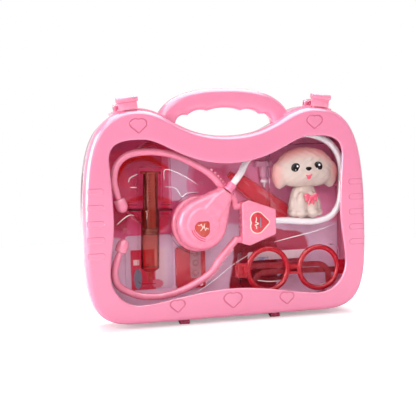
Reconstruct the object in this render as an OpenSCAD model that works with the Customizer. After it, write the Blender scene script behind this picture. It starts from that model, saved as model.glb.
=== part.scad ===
// Toy doctor case with a clear window and a tray of toy instruments.
// X runs to the right, Y from the lid's face to the back, Z up. Millimetres.

/* [Case] */
// Width of the case across its sides
case_w = 264; // [252:1:276]
// Height of the body at its two humps, without handle and hinges
case_h = 187; // [180:1:196]
// Depth of the dip in the top edge between the humps
dip = 24; // [16:1:30]
// Distance of each hump's top from the side
hump_side = 50; // [46:1:54]
// Depth of the lid from its face to the parting line
lid_d = 10; // [9.5:0.5:14]
// Depth of the back shell from the parting line to its back
shell_d = 38; // [36:1:48]
// Thickness of the moulded walls
wall = 2; // [1.6:0.1:2.4]
// Radius of the lid's front edge
edge_r = 4.5; // [3:0.5:5.5]
// How far the back shell narrows on each side from rim to back
shell_draft = 4; // [2:0.5:5]

/* [Window] */
// Width of the window at its lower lobes
window_w = 221; // [210:1:226]
// Height of the window's upper edge at its lobes
window_top = 161; // [154:1:166]
// Height of the window's lower edge at its lobes
window_low = 17; // [14:1:22]
// Thickness of the clear pane
pane_t = 0.8; // [0.5:0.1:1.2]

/* [Handle] */
// Height of the handle above the top of the dip
handle_rise = 42.3; // [38:0.5:50]
// Half width of the handle where it meets the body
handle_half = 65; // [60:1:70]
// Thickness of the handle from front to back
handle_t = 14; // [10:1:18]

/* [Hinge and latches] */
// Distance of each hinge from the middle
hinge_x = 43; // [36:1:60]
// Radius of the hinge knuckles
knuckle_r = 1.9; // [1.8:0.1:2.6]
// Radius of the moulded pivot pegs
peg_r = 1; // [0.8:0.1:1.2]
// Width of each latch
latch_w = 19; // [16:1:24]
// Height of the latch's finger bar above the hump
latch_h = 12; // [10:0.5:14]

/* [Tray] */
// Thickness of the formed clear sheet
tray_t = 0.8; // [0.5:0.1:1]
// Depth of the tray's face behind the parting line
tray_drop = 10; // [9:0.5:11]

/* [Stethoscope] */
// Radius of the chest piece
chest_r = 25.5; // [23:0.5:27]
// Diameter of the white tube
tube_d = 6.2; // [5:0.2:6.6]
// Diameter of the ear arms
arm_d = 6.4; // [5:0.2:6.8]
// Thickness of the yoke
yoke_t = 12; // [10:0.5:13]

/* [Syringe] */
// Outer diameter of the barrel
barrel_d = 16.4; // [14:0.2:18]
// Length of the barrel
barrel_l = 53; // [48:1:58]
// How far the plunger stands out of the barrel
plunger_out = 33; // [24:1:36]

/* [Glasses] */
// Outer diameter of each rim
rim_d = 43; // [38:1:46]
// Thickness of each rim
rim_t = 4.8; // [3.6:0.2:5.4]

/* [Puppy] */
// Height of the puppy
puppy_h = 64; // [58:1:66]
// Width of the puppy over its ears
puppy_w = 65; // [56:1:65]

/* [Hidden] */
$fn = 48;

// Size of the case that the places of the instruments are drawn for, and how far its bottom lies under zero there
drawn_w = 264;
drawn_low = 2;
drawn_h = 185 + drawn_low;
// Gaps between flat faces, between loose pieces and round a pivot peg
part_gap = 0.15;
rest_gap = 0.3;
peg_gap = 0.06;
eps = 0.01;

// Places along the depth
front_y = -(lid_d + shell_d) / 2;
part_y = front_y + lid_d;
back_y = (lid_d + shell_d) / 2;
tray_y = part_y + tray_drop;
pane_y = front_y + wall;
floor_y = back_y - wall;
card_t = 0.5;
card_in = 0.5;
shelf_y = floor_y - card_t - rest_gap;
// Contents that stand in front of the tray keep behind this depth
glazing_y = pane_y + pane_t + 1.5;

// Hinge at the bottom edge, and the height that it lifts the body by
hinge_drop = knuckle_r + rest_gap;
stand_h = hinge_drop + knuckle_r;

// Handles of the curves that shape the case outline
hump_x = case_w / 2 - hump_side;
dip_run = 45;
hump_in = 27;
hump_out = 48;
shoulder_z = 138;
side_z = 64;
corner_z = 18;
corner_x = 8;
corner_run = 42;
// Points on each stretch of half an outline
n_top = 8;
n_side = 12;
n_corner = 8;
n_low = 3;

function place_x(x) = x * case_w / drawn_w;
function place_z(z) = (z + drawn_low) * case_h / drawn_h;
function unit(v) = v / norm(v);
function bez(p0, p1, p2, p3, n) = [for (i = [0:n - 1]) let (t = i / n, u = 1 - t)
    u * u * u * p0 + 3 * u * u * t * p1 + 3 * u * t * t * p2 + t * t * t * p3];
function mirrored(half) = concat(half, [for (i = [len(half) - 2:-1:1]) [-half[i][0], half[i][1]]]);
function tangent(pts, i) = unit(pts[(i + 1) % len(pts)] - pts[(i + len(pts) - 1) % len(pts)]);
function inset(pts, d) = [for (i = [0:len(pts) - 1]) let (t = tangent(pts, i)) pts[i] + d * [t[1], -t[0]]];
function ring(pts, y) = [for (p = pts) [p[0], y, p[1]]];

// Half of the case outline, clockwise from the middle of the dip to the middle of the bottom
case_half = concat(
    bez([0, case_h - dip], [dip_run, case_h - dip], [hump_x - hump_in, case_h], [hump_x, case_h], n_top),
    bez([hump_x, case_h], [hump_x + hump_out, case_h], [case_w / 2, place_z(shoulder_z)],
        [case_w / 2, side_z], n_side),
    bez([case_w / 2, side_z], [case_w / 2, corner_z], [case_w / 2 - corner_x, 0],
        [case_w / 2 - corner_run, 0], n_corner),
    [for (i = [0:n_low]) [(case_w / 2 - corner_run) * (1 - i / n_low), 0]]);
case_pts = mirrored(case_half);

// Half of the window outline, with one point for each point of the case outline
win_x = window_w / 2;
win_waist_x = win_x - 4.4;
window_half = concat(
    bez([0, window_top - 22.7], [42, window_top - 22.7], [60, window_top], [78, window_top], n_top),
    bez([78, window_top], [103, window_top + 1], [win_x - 0.5, window_top - 5], [win_x - 2, window_top - 21], 4),
    bez([win_x - 2, window_top - 21], [win_x - 3, place_z(122)], [win_waist_x, place_z(106)],
        [win_waist_x, place_z(90)], 4),
    bez([win_waist_x, place_z(90)], [win_waist_x, place_z(72)], [win_x, place_z(58)], [win_x, place_z(42)], 4),
    bez([win_x, place_z(42)], [win_x, window_low + 15], [win_x - 10, window_low], [84, window_low], n_corner),
    bez([84, window_low], [62, window_low + 0.5], [34, window_low + 9.3], [0, window_low + 9.3], n_low),
    [[0, window_low + 9.3]]);
window_pts = mirrored(window_half);

module stand() {
    translate([0, 0, stand_h]) children();
}

// Solid through a list of rings of equal length; with loop it joins the last ring to the first
module loft(rings, loop = false) {
    n = len(rings[0]);
    m = len(rings);
    sides = [for (j = [0:loop ? m - 1 : m - 2], i = [0:n - 1])
        let (a = j * n + i, b = j * n + (i + 1) % n, c = ((j + 1) % m) * n)
        each [[a, b, c + (i + 1) % n], [a, c + (i + 1) % n, c + i]]];
    caps = loop ? [] : [[for (i = [n - 1:-1:0]) i], [for (i = [0:n - 1]) (m - 1) * n + i]];
    polyhedron([for (r = rings) each r], concat(sides, caps), convexity = 10);
}

// Smooth curve through points, with n steps between each two
function spline(p, n) = concat([for (i = [0:len(p) - 2], k = [0:n - 1])
    let (a = p[max(i - 1, 0)], b = p[i], c = p[i + 1], d = p[min(i + 2, len(p) - 1)], t = k / n)
    0.5 * (2 * b + (c - a) * t + (2 * a - 5 * b + 4 * c - d) * t * t + (3 * b - a - 3 * c + d) * t * t * t)],
    [p[len(p) - 1]]);
function heading(p, i) = unit(p[min(i + 1, len(p) - 1)] - p[max(i - 1, 0)]);
// Rings square to a path that keeps near the XZ plane; radius is one number or one for each point
function tube_rings(p, radius, sides) = [for (i = [0:len(p) - 1])
    let (t = heading(p, i), u = unit(cross([0, 1, 0], t)), v = cross(t, u),
        r = is_list(radius) ? radius[i] : radius)
    [for (k = [0:sides - 1]) p[i] + r * (cos(-360 * k / sides) * u + sin(-360 * k / sides) * v)]];

// Corner arc from a through b to c in n steps, and a polygon with all corners so rounded
function corner_arc(a, b, c, r, n) = let (u = unit(a - b), v = unit(c - b), h = acos(u * v) / 2,
    m = b + unit(u + v) * r / sin(h), p = b + u * r / tan(h) - m, q = b + v * r / tan(h) - m,
    a0 = atan2(p[1], p[0]), turn = atan2(q[1], q[0]) - a0,
    span = turn > 180 ? turn - 360 : turn < -180 ? turn + 360 : turn)
    [for (k = [0:n]) m + r * [cos(a0 + span * k / n), sin(a0 + span * k / n)]];
function rounded(pts, r, n = 4) = [for (i = [0:len(pts) - 1])
    each corner_arc(pts[(i + len(pts) - 1) % len(pts)], pts[i], pts[(i + 1) % len(pts)], r, n)];
// Clockwise rectangle from its low and high corners
function box_pts(x0, z0, x1, z1) = [[x0, z1], [x1, z1], [x1, z0], [x0, z0]];

// Plate of a 2D outline in XZ, from depth y0 to y1
module plate(y0, y1) {
    translate([0, y1, 0]) rotate([90, 0, 0]) linear_extrude(y1 - y0) children();
}

// Strip of the case outline near a range of its points, between two heights above the outline
module outline_band(from, to, low, high, y0, y1) {
    inner = inset(case_pts, -low);
    outer = inset(case_pts, -high);
    plate(y0, y1) polygon(concat([for (i = [from:to]) outer[i]], [for (i = [to:-1:from]) inner[i]]));
}

/* Handle */
handle_c = [0, case_h - dip - 1];
handle_power = 2.6;
handle_y0 = part_y + rest_gap;
handle_end = 84;
handle_steps = 42;
// Finger hollows under the handle: centre and radius of each circle, right half
hollow_top = handle_c[1] + handle_rise - 16.4;
hollows = [[0, hollow_top - 50.5, 50.5], [21.9, hollow_top - 20.1, 18.5], [37, hollow_top - 14.4, 8.6]];
function outer_reach(a) = 1 / pow(pow(abs(sin(a)) / handle_half, handle_power)
    + pow(abs(cos(a)) / (handle_rise + 1), handle_power), 1 / handle_power);
function circle_reach(a, c) = let (o = [c[0], c[1]] - handle_c, s = o * [abs(sin(a)), cos(a)],
    q = c[2] * c[2] - o * o + s * s) q < 0 ? 0 : s + sqrt(q);
function inner_reach(a) = max([for (c = hollows) circle_reach(a, c)]);
// Rounded section of the handle at one angle, from its inner to its outer edge
function handle_ring(a) = let (r0 = inner_reach(a), r1 = outer_reach(a), m = (r0 + r1) / 2, h = (r1 - r0) / 2)
    [for (k = [0:15]) let (c = cos(22.5 * k), s = sin(22.5 * k),
        r = m + h * sign(c) * pow(abs(c), 0.6), y = handle_t / 2 * sign(s) * pow(abs(s), 0.6))
        [handle_c[0] + r * sin(a), handle_y0 + handle_t / 2 + y, handle_c[1] + r * cos(a)]];

module handle() {
    difference() {
        loft([for (i = [0:handle_steps]) handle_ring(handle_end * (2 * i / handle_steps - 1))]);
        plate(handle_y0 - 5, handle_y0 + handle_t + 5) polygon(inset(case_pts, wall_depth));
    }
}

/* Back shell */
lip_h = 2.2;
lip_t = 1.1;
lip_in = wall + rest_gap;
rim_y = part_y + part_gap;
back_r = 5;
// Depth below the outline that lies inside the drafted wall anywhere in front of the middle
wall_depth = 2.6;
post_r = 2.6;
post_in = 12;
post_ids = [12, 17, 26, 0, 36, 45, 50];
foot_y = back_y - 12;
ear_t = 1.8;
barrel_half = 2.2;

module shell_cup() {
    inner_in = lip_in + lip_t;
    arc = [for (a = [0:22.5:90]) [back_y - back_r + back_r * cos(a), shell_draft + back_r * (1 - sin(a))]];
    outside = [for (s = arc) ring(inset(case_pts, s[1]), s[0])];
    rim = [ring(case_pts, rim_y), ring(inset(case_pts, lip_in), rim_y),
        ring(inset(case_pts, lip_in), rim_y - lip_h), ring(inset(case_pts, inner_in), rim_y - lip_h)];
    inside = [ring(inset(case_pts, shell_draft + wall), floor_y - back_r + wall),
        ring(inset(case_pts, shell_draft + wall + (back_r - wall) * 0.3), floor_y - (back_r - wall) * 0.3),
        ring(inset(case_pts, shell_draft + back_r), floor_y)];
    loft(concat(outside, rim, inside));
}

post_spots = let (spots = inset(case_pts, post_in)) [for (i = post_ids) spots[i]];

module tray_posts() {
    for (p = post_spots) translate([p[0], 0, p[1]]) rotate([-90, 0, 0])
        translate([0, 0, tray_y + tray_t]) cylinder(r = post_r, h = floor_y + wall / 2 - tray_y - tray_t);
}

// Pair of hinge ears with a gusset that runs back under the shell
module hinge_ears() {
    for (side = [-1, 1], half = [-1, 1])
        translate([side * hinge_x + half * (barrel_half + rest_gap + ear_t / 2) - ear_t / 2, part_y, -hinge_drop])
            difference() {
                union() {
                    rotate([0, 90, 0]) cylinder(r = knuckle_r, h = ear_t);
                    rotate([90, 0, 90]) linear_extrude(ear_t)
                        polygon([[rest_gap, hinge_drop + wall_depth], [rest_gap, -knuckle_r], [knuckle_r, -knuckle_r],
                            [10, hinge_drop], [10, hinge_drop + wall_depth]]);
                }
                translate([-eps, 0, 0]) rotate([0, 90, 0]) cylinder(r = peg_r + peg_gap, h = ear_t + 2 * eps);
            }
}

module feet() {
    for (side = [-1, 1]) plate(foot_y, foot_y + 4)
        polygon([[side * hinge_x - 14, shell_draft + wall / 2], [side * hinge_x + 14, shell_draft + wall / 2],
            [side * hinge_x + 11, -stand_h], [side * hinge_x - 11, -stand_h]]);
}

/* Latches */
// Point of the outline that carries each latch, and its slope there
latch_t = 0.055;
hump_curve = [[hump_x, case_h], [hump_x + hump_out, case_h], [case_w / 2, place_z(shoulder_z)], [case_w / 2, side_z]];
function on_hump(t) = bez(hump_curve[0], hump_curve[1], hump_curve[2], hump_curve[3], 1 / t)[1];
latch_at = on_hump(latch_t);
latch_dir = unit(on_hump(latch_t * 1.2) - on_hump(latch_t * 0.8));
latch_tilt = -atan2(latch_dir[1], latch_dir[0]);
rail_h = 1.7;
rail_y1 = part_y + 18;
latch_r = 2.6;
latch_axis_u = rail_h + rest_gap + latch_r;
latch_axis_y = part_y + 13;
latch_barrel = 12;
latch_ear_t = 3;
catch_y = part_y - 2.4;
catch_t = 2;
catch_h = 3;
hook_t = 1.8;
hook_y = catch_y - rest_gap - hook_t;

module at_latch(side) {
    mirror([side < 0 ? 1 : 0, 0, 0]) translate([latch_at[0], 0, latch_at[1]]) rotate([0, latch_tilt, 0])
        children();
}

// Raised rails on the humps, with the two ears that hold each latch
module latch_mounts() {
    last = len(case_pts);
    outline_band(n_top - 3, n_top + 2, -wall_depth, rail_h, rim_y, rail_y1);
    outline_band(last - n_top - 2, last - n_top + 3, -wall_depth, rail_h, rim_y, rail_y1);
    for (side = [-1, 1]) at_latch(side) for (half = [-1, 1])
        translate([half * (latch_barrel / 2 + rest_gap + latch_ear_t / 2) - latch_ear_t / 2, latch_axis_y, 0])
            difference() {
                union() {
                    translate([0, 0, latch_axis_u]) rotate([0, 90, 0]) cylinder(r = latch_r, h = latch_ear_t);
                    translate([0, -latch_r, -wall_depth]) cube([latch_ear_t, 2 * latch_r, latch_axis_u + wall_depth]);
                }
                translate([-eps, 0, latch_axis_u]) rotate([0, 90, 0])
                    cylinder(r = peg_r + peg_gap, h = latch_ear_t + 2 * eps);
            }
}

// Side profile of the latch, in depth and height over the hump
bar_out = 1.6;
bar_t = 4.6;
bar_h = 4.4;
bar_edge = 1;
latch_low = 0.6;
latch_top = latch_axis_u + latch_r;
latch_profile = [
    [latch_axis_y, latch_top], [hook_y + 5, latch_top], [hook_y - bar_out + bar_t, latch_top + 1.4],
    [hook_y - bar_out + bar_t - bar_edge, latch_h], [hook_y - bar_out + bar_edge, latch_h],
    [hook_y - bar_out + 0.3 * bar_edge, latch_h - 0.3 * bar_edge], [hook_y - bar_out, latch_h - bar_edge],
    [hook_y - bar_out, latch_h - bar_h + 0.4], [hook_y - bar_out + 0.4, latch_h - bar_h],
    [hook_y, latch_h - bar_h - 0.8], [hook_y, latch_low], [hook_y + hook_t, latch_low],
    [hook_y + hook_t, latch_axis_u + 0.3], [latch_axis_y, latch_axis_u + 0.3]];

module latch(side) {
    stand() color("hotpink") at_latch(side) {
        difference() {
            rotate([90, 0, 90]) translate([0, 0, -latch_w / 2]) linear_extrude(latch_w) polygon(latch_profile);
            for (half = [-1, 1]) translate([half * (latch_barrel / 2 + latch_w / 2) - latch_w / 2,
                latch_axis_y - latch_r - 1, 0]) cube([latch_w, 2 * latch_r + 2, latch_h]);
        }
        translate([-latch_barrel / 2, latch_axis_y, latch_axis_u]) rotate([0, 90, 0])
            cylinder(r = latch_r, h = latch_barrel);
        peg_l = latch_barrel / 2 + rest_gap + latch_ear_t;
        translate([-peg_l, latch_axis_y, latch_axis_u]) rotate([0, 90, 0]) cylinder(r = peg_r, h = 2 * peg_l);
    }
}

module back_shell() {
    stand() color("hotpink") {
        shell_cup();
        tray_posts();
        hinge_ears();
        feet();
        handle();
        latch_mounts();
    }
}

/* Lid */
lid_in = 0.5;
groove_n = 5;
groove_pitch = 13.9;
groove_z = 88;
groove_w = 5.4;
groove_l = 16;
groove_deep = 0.7;
heart_line = 0.8;
heart_deep = 0.5;
// Engraved hearts: place and width
hearts = [[82, 171.4, 15], [51.5, 12.3, 13.5], [0, 13.9, 17]];

module lid_bowl() {
    arc = [for (a = [0:22.5:90]) [front_y + edge_r * (1 - sin(a)), lid_in + edge_r * (1 - cos(a))]];
    loft(concat(
        [ring(case_pts, part_y - part_gap)],
        [for (s = arc) ring(inset(case_pts, s[1]), s[0])],
        [ring(inset(window_pts, -0.7), front_y), ring(window_pts, front_y + 0.7), ring(window_pts, pane_y)],
        [ring(inset(case_pts, edge_r + 0.5), pane_y), ring(inset(case_pts, wall), front_y + edge_r + 0.5),
            ring(inset(case_pts, wall), part_y - part_gap)]), loop = true);
}

// Heart with its point down, as wide as w
module heart(w) {
    r = w * 0.27;
    s = w * 0.5 - r;
    union() {
        translate([-s, s]) circle(r = r, $fn = 24);
        translate([s, s]) circle(r = r, $fn = 24);
        polygon([[-s - r * 0.76, s - r * 0.65], [0, -w * 0.46], [s + r * 0.76, s - r * 0.65], [s, s + r * 0.5],
            [-s, s + r * 0.5]]);
    }
}

module engraved_hearts() {
    for (h = hearts, side = h[0] > 0 ? [-1, 1] : [1])
        translate([side * h[0], 0, place_z(h[1])])
            plate(front_y - 1, front_y + heart_deep) difference() {
                heart(h[2]);
                heart(h[2] - 2 * heart_line);
            }
}

// Grip grooves that run off the sides of the bezel
module finger_grooves() {
    for (side = [-1, 1], i = [0:groove_n - 1]) translate([side * (case_w / 2 - edge_r - groove_l + groove_w / 2), 0,
        place_z(groove_z) + (i - (groove_n - 1) / 2) * groove_pitch]) plate(front_y - 1, front_y + groove_deep) {
            circle(d = groove_w, $fn = 24);
            translate([side > 0 ? 0 : -groove_l, -groove_w / 2]) square([groove_l, groove_w]);
        }
}

module hinge_knuckles() {
    peg_l = barrel_half + rest_gap + ear_t;
    for (side = [-1, 1]) translate([side * hinge_x, part_y, -hinge_drop]) {
        rotate([0, 90, 0]) translate([0, 0, -barrel_half]) cylinder(r = knuckle_r, h = 2 * barrel_half);
        rotate([0, 90, 0]) translate([0, 0, -peg_l]) cylinder(r = peg_r, h = 2 * peg_l);
        translate([-barrel_half, -knuckle_r, 0])
            cube([2 * barrel_half, knuckle_r - part_gap, hinge_drop + wall / 2]);
    }
}

module catch_ribs() {
    for (side = [-1, 1]) at_latch(side)
        translate([-latch_barrel / 2, catch_y, -wall / 2]) cube([latch_barrel, catch_t, catch_h + wall / 2]);
}

module lid_frame() {
    stand() color("pink") {
        difference() {
            lid_bowl();
            engraved_hearts();
            finger_grooves();
        }
        hinge_knuckles();
        catch_ribs();
    }
}

module window_pane() {
    stand() color([0.9, 0.95, 1, 0.3]) plate(pane_y, pane_y + pane_t) polygon(inset(case_pts, edge_r + 1.5));
}

/* Places of the instruments */
chest_x = place_x(-24.5);
chest_z = place_z(82.5);
neck_turn = 50;
base_h = 7.5;
chest_back = tray_y + 5;
chest_base_y = chest_back - base_h;
bell_front_y = front_y + 4;
yoke_x = place_x(13);
yoke_z = place_z(81.6);
yoke_w = 32.5;
yoke_side = 18.5;
syringe_x = place_x(-71.2);
syringe_z = place_z(45);
syringe_tilt = 2;
syringe_y = tray_y - 1;
puppy_x = place_x(78.6);
puppy_z = place_z(84.8);
glasses_x = place_x(63.3);
glasses_z = place_z(37.1);
glasses_tilt = 1.4;
rim_gap = 50.2;

/* Tray */
tray_in = 5.4;
pocket_r = 4;
pocket_draft = 1.2;
chest_room = 2;
syringe_room = 2;
disc_r = 9.1;
deep_floor = tray_y + 11.5;

// Formed pocket: outline at the tray's face, narrowing to its floor
module pocket(pts, deep, grow) {
    loft([ring(inset(pts, pocket_draft + 1 - grow), tray_y + deep + grow),
        ring(inset(pts, pocket_draft - grow), tray_y + deep + grow - 1),
        ring(inset(pts, -grow), tray_y + (grow > 0 ? tray_t / 2 : -1))]);
}
syringe_slot = rounded(box_pts(-barrel_d / 2 - syringe_room, -14, barrel_d / 2 + syringe_room,
    barrel_l + 6), pocket_r);
flange_slot = rounded(box_pts(-22, barrel_l - 5, 22, barrel_l + 3), 2);
disc_slot = rounded(box_pts(-disc_r - syringe_room, barrel_l + 1, disc_r + syringe_room, barrel_l + plunger_out + 4), pocket_r);
puppy_slot = rounded(box_pts(puppy_x - puppy_w / 2 - 1.5, puppy_z - 2.5, puppy_x + puppy_w / 2 + 1.5,
    puppy_z + puppy_h + 2.5), 12);
glasses_slot = rounded(box_pts(glasses_x - 49, glasses_z - 17, glasses_x + 49, glasses_z + 19), 7);
chest_slot = [for (a = [0:15:345]) [chest_x + (chest_r + chest_room) * sin(a), chest_z + (chest_r + chest_room) * cos(a)]];

module pockets(grow) {
    pocket(chest_slot, chest_back + 1 + rest_gap - tray_y, grow);
    translate([syringe_x, 0, syringe_z]) rotate([0, syringe_tilt, 0]) {
        pocket(syringe_slot, syringe_y + barrel_d / 2 + rest_gap - tray_y, grow);
        pocket(flange_slot, syringe_y + barrel_d / 2 + rest_gap - tray_y, grow);
        pocket(disc_slot, syringe_y + disc_r + rest_gap - tray_y, grow);
    }
    pocket(puppy_slot, deep_floor - tray_y, grow);
    pocket(glasses_slot, deep_floor - tray_y, grow);
}

module blister_tray() {
    stand() color([0.85, 0.9, 1, 0.35]) difference() {
        union() {
            plate(tray_y, tray_y + tray_t) polygon(inset(case_pts, tray_in));
            pockets(tray_t);
        }
        pockets(0);
    }
}

module insert_card() {
    stand() color("palevioletred") plate(floor_y - card_t, floor_y) difference() {
        polygon(inset(case_pts, shell_draft + back_r + card_in));
        for (p = post_spots) translate(p) circle(r = post_r + rest_gap, $fn = 24);
    }
}

/* Stethoscope */
// Outline of two circles and their tangents, the small one at distance d towards angle turn
function teardrop(big, small, d, turn) = let (lean = acos((big - small) / d))
    [for (k = [0:31]) let (on_big = k < 22,
        a = on_big ? turn + lean + (360 - 2 * lean) * k / 21 : turn - lean + 2 * lean * (k - 22) / 9)
        (on_big ? [0, 0] : d * [cos(turn), sin(turn)]) + (on_big ? big : small) * [cos(a), sin(a)]];
function reversed(p) = [for (i = [len(p) - 1:-1:0]) p[i]];
// Narrowing of the bell towards its front, as shares of its outline and of its height
bell_steps = [[1, 0], [1, 0.3], [0.96, 0.6], [0.88, 0.84], [0.74, 1]];
neck_l = 31.4;
neck_r = 6.2;
// How far the bell and its foot stay inside the round base
bell_in = 1.9;
foot_in = 3.2;
collar_l = 8;
collar_r = 4.2;
label_t = 0.4;

module at_chest() {
    translate([chest_x, 0, chest_z]) children();
}

module chest_piece_base() {
    stand() color("lightpink") at_chest() translate([0, chest_back, 0]) rotate([90, 0, 0]) rotate_extrude()
        polygon([[0, 0], [chest_r - 1.5, 0], [chest_r, 1.5], [chest_r, base_h - 2.6], [chest_r - 0.8, base_h - 1.6],
            [chest_r - 2.2, base_h - 1.4], [chest_r - 3, base_h], [0, base_h]]);
}

// Round foot, then a drop-shaped dome whose neck passes in front of the upper ear arm
module chest_piece_bell() {
    stand() color("hotpink") at_chest() {
        translate([0, chest_base_y, 0]) rotate([90, 0, 0]) cylinder(r = chest_r - foot_in, h = chest_base_y - neck_back_y + 1);
        loft([for (s = bell_steps) ring(reversed(teardrop((chest_r - bell_in) * s[0], neck_r * s[0], neck_l, neck_turn)),
            neck_back_y + (bell_front_y - neck_back_y) * s[1])]);
    }
}

module chest_piece_diaphragm() {
    stand() color("white") at_chest() translate([0, chest_back + 1, 0]) rotate([90, 0, 0])
        cylinder(r = chest_r - 4, h = 1);
}

neck_back_y = tray_y - rest_gap - arm_d - rest_gap;
neck_y = (neck_back_y + bell_front_y) / 2;
neck_dir = [cos(neck_turn), 0, sin(neck_turn)];
collar_at = [chest_x, neck_y, chest_z] + (neck_l + neck_r + rest_gap) * neck_dir;
tube_from = collar_at + collar_l * neck_dir;

module tube_collar() {
    stand() color("deeppink") translate(collar_at) rotate([0, 90 - neck_turn, 0]) {
        cylinder(r = collar_r, h = collar_l);
        cylinder(r = collar_r + 0.3, h = 2.4);
    }
}

module chest_heart_label() {
    stand() color("orangered") translate([chest_x - 0.5, 0, chest_z - 2.7])
        plate(bell_front_y - label_t, bell_front_y) rotate([0, 0, 135]) heart(14);
}

// Yoke with a flat face to the ear arms and a narrower one to the tube
yoke_back_y = tray_y - rest_gap;
yoke_split_y = yoke_back_y - yoke_t / 2;
yoke_front_y = yoke_back_y - yoke_t;
yoke_half = 20.7;
yoke_pts = rounded([[yoke_x, yoke_z + yoke_side], [yoke_x + 7, yoke_z + yoke_half], [yoke_x + yoke_w, yoke_z + 11.5],
    [yoke_x + yoke_w, yoke_z - 11.5], [yoke_x + 7, yoke_z - yoke_half], [yoke_x, yoke_z - yoke_side]], 2);

module yoke_front() {
    stand() color("pink") loft([ring(yoke_pts, yoke_split_y), ring(yoke_pts, yoke_front_y + 1.2),
        ring(inset(yoke_pts, 0.4), yoke_front_y + 0.4), ring(inset(yoke_pts, 1.2), yoke_front_y)]);
}

module yoke_back() {
    stand() color("pink") loft([ring(inset(yoke_pts, 1.2), yoke_back_y), ring(inset(yoke_pts, 0.4), yoke_back_y - 0.6),
        ring(inset(yoke_pts, 0.4), yoke_split_y)]);
}

module yoke_heart_label() {
    stand() color("red") translate([yoke_x + 16.5, 0, yoke_z]) plate(yoke_front_y - label_t, yoke_front_y)
        rotate([0, 0, 90]) heart(20);
}

// Routes of the ear arms: from the ear tip to the yoke, as places in the case
arm_y = tray_y - rest_gap - arm_d / 2;
tip_r = 5.4;
tip_l = 12.6;
tip_y = tray_y - rest_gap - tip_r;
arm_seat = yoke_side - arm_d / 2;
upper_route = [[-98.5, 108], [-100.5, 114], [-102.4, 123], [-100, 136], [-92, 144.5], [-80, 148], [-63, 148],
    [-45.5, 144.3], [-28, 136.1], [-14, 127], [-5, 117], [1, 109], [8, 103.4]];
lower_route = [[-99, 61], [-101.5, 55], [-104, 45.3], [-103, 35], [-96, 27.5], [-81, 21], [-63.3, 19.5],
    [-45.5, 22.6], [-28, 30], [-15, 38.5], [-6.5, 49.5], [1, 58], [7, 64]];
// Depth along the first points, which run from the thick ear tip down to the tray
function arm_depth(i) = tip_y + (arm_y - tip_y) * max(0, min(3, i - 1)) / 3;
function arm_path(route, seat_z) = spline(concat(
    [for (i = [0:len(route) - 1]) [place_x(route[i][0]), arm_depth(i), place_z(route[i][1])]],
    [[yoke_x - 4, arm_y, seat_z], [yoke_x - 2, arm_y, seat_z], [yoke_x, arm_y, seat_z]]), 3);
upper_path = arm_path(upper_route, yoke_z + arm_seat);
lower_path = arm_path(lower_route, yoke_z - arm_seat);
tip_steps = 4;
tip_shrink = 0.72;
function arm_radii(p) = [for (i = [0:len(p) - 1]) arm_d / 2 * (i < tip_steps ? tip_shrink + (1 - tip_shrink) * i / tip_steps : 1)];

// Toothed flexing strip along one side of an arm
tooth_h = 1.3;
function along(p, s) = let (i = floor(s)) p[i] + (s - i) * (p[i + 1] - p[i]);
function beside(p, s, d) = let (i = floor(s), t = unit(p[i + 1] - p[i]), q = along(p, s) + d * unit(cross([0, 1, 0], t)))
    [q[0], q[2]];
module teeth(path, from, to, count, side) {
    step = (to - from) / count;
    edge = [for (k = [0:count - 1]) let (s = from + k * step)
        each [beside(path, s, side * (arm_d / 2 - 0.3)), beside(path, s + step * 0.1, side * (arm_d / 2 + tooth_h)),
            beside(path, s + step * 0.5, side * (arm_d / 2 + tooth_h)), beside(path, s + step * 0.6, side * (arm_d / 2 - 0.3))]];
    root = [for (k = [count:-1:0]) beside(path, from + k * step - 0.01, side * arm_d / 4)];
    plate(arm_y - arm_d / 4, arm_y + arm_d / 4) polygon(concat(edge, root));
}

module upper_ear_arm() {
    stand() color("lightcoral") {
        loft(tube_rings(upper_path, arm_radii(upper_path), 10));
        teeth(upper_path, 26.5, 32, 7, -1);
        teeth(upper_path, 33.4, 35.7, 3, -1);
    }
}

module lower_ear_arm() {
    stand() color("lightcoral") {
        loft(tube_rings(lower_path, arm_radii(lower_path), 10));
        teeth(lower_path, 24, 34.5, 11, 1);
    }
}

// Soft ear tip: bulb with a flat collar, its axis against the start of an arm
module ear_tip(path) {
    dir = heading(path, 0);
    translate(path[0] - rest_gap / 3 * dir) rotate([0, atan2(-dir[0], -dir[2]), 0]) rotate_extrude() polygon(concat(
        [[0, 0], [tip_r - 1.4, 0], [tip_r - 0.2, 1.2]],
        [for (a = [0:15:75]) [tip_r * cos(a), tip_l - 7 + 7 * sin(a)]], [[0, tip_l]]));
}

module upper_ear_tip() {
    stand() color("pink") ear_tip(upper_path);
}

module lower_ear_tip() {
    stand() color("pink") ear_tip(lower_path);
}

// Route of the white tube from the collar, behind the bezel and round the puppy, to the yoke
tube_y = tray_y - rest_gap - tube_d / 2;
tube_route = [[21.4, 137.5], [33, 148], [46, 156], [62, 160.5], [78, 161], [91.5, 158], [103, 152], [111, 142],
    [114.5, 130], [114.6, 115.8], [113.5, 100], [109, 89.5], [101, 82.5], [86, 79.3], [70, 80.4]];
tube_path = spline(concat([tube_from, tube_from + 3 * neck_dir, tube_from + 6 * neck_dir],
    [[place_x(14.6), (tube_y + neck_y) / 2, place_z(128)]],
    [for (p = tube_route) [place_x(p[0]), tube_y, place_z(p[1])]],
    [for (d = [12, 6, 0]) [yoke_x + yoke_w + d, tube_y, yoke_z]]), 3);

module stethoscope_tube() {
    stand() color("white") loft(tube_rings(tube_path, tube_d / 2, 10));
}

/* Syringe */
barrel_wall = 1;
seal_gap = 0.08;
rod_r = barrel_d / 2 - barrel_wall - 0.6;
nozzle_l = 12;
nozzle_r = 2.6;
bore_r = barrel_d / 2 - barrel_wall;
seal_h = 5;
travel = 28;

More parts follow.
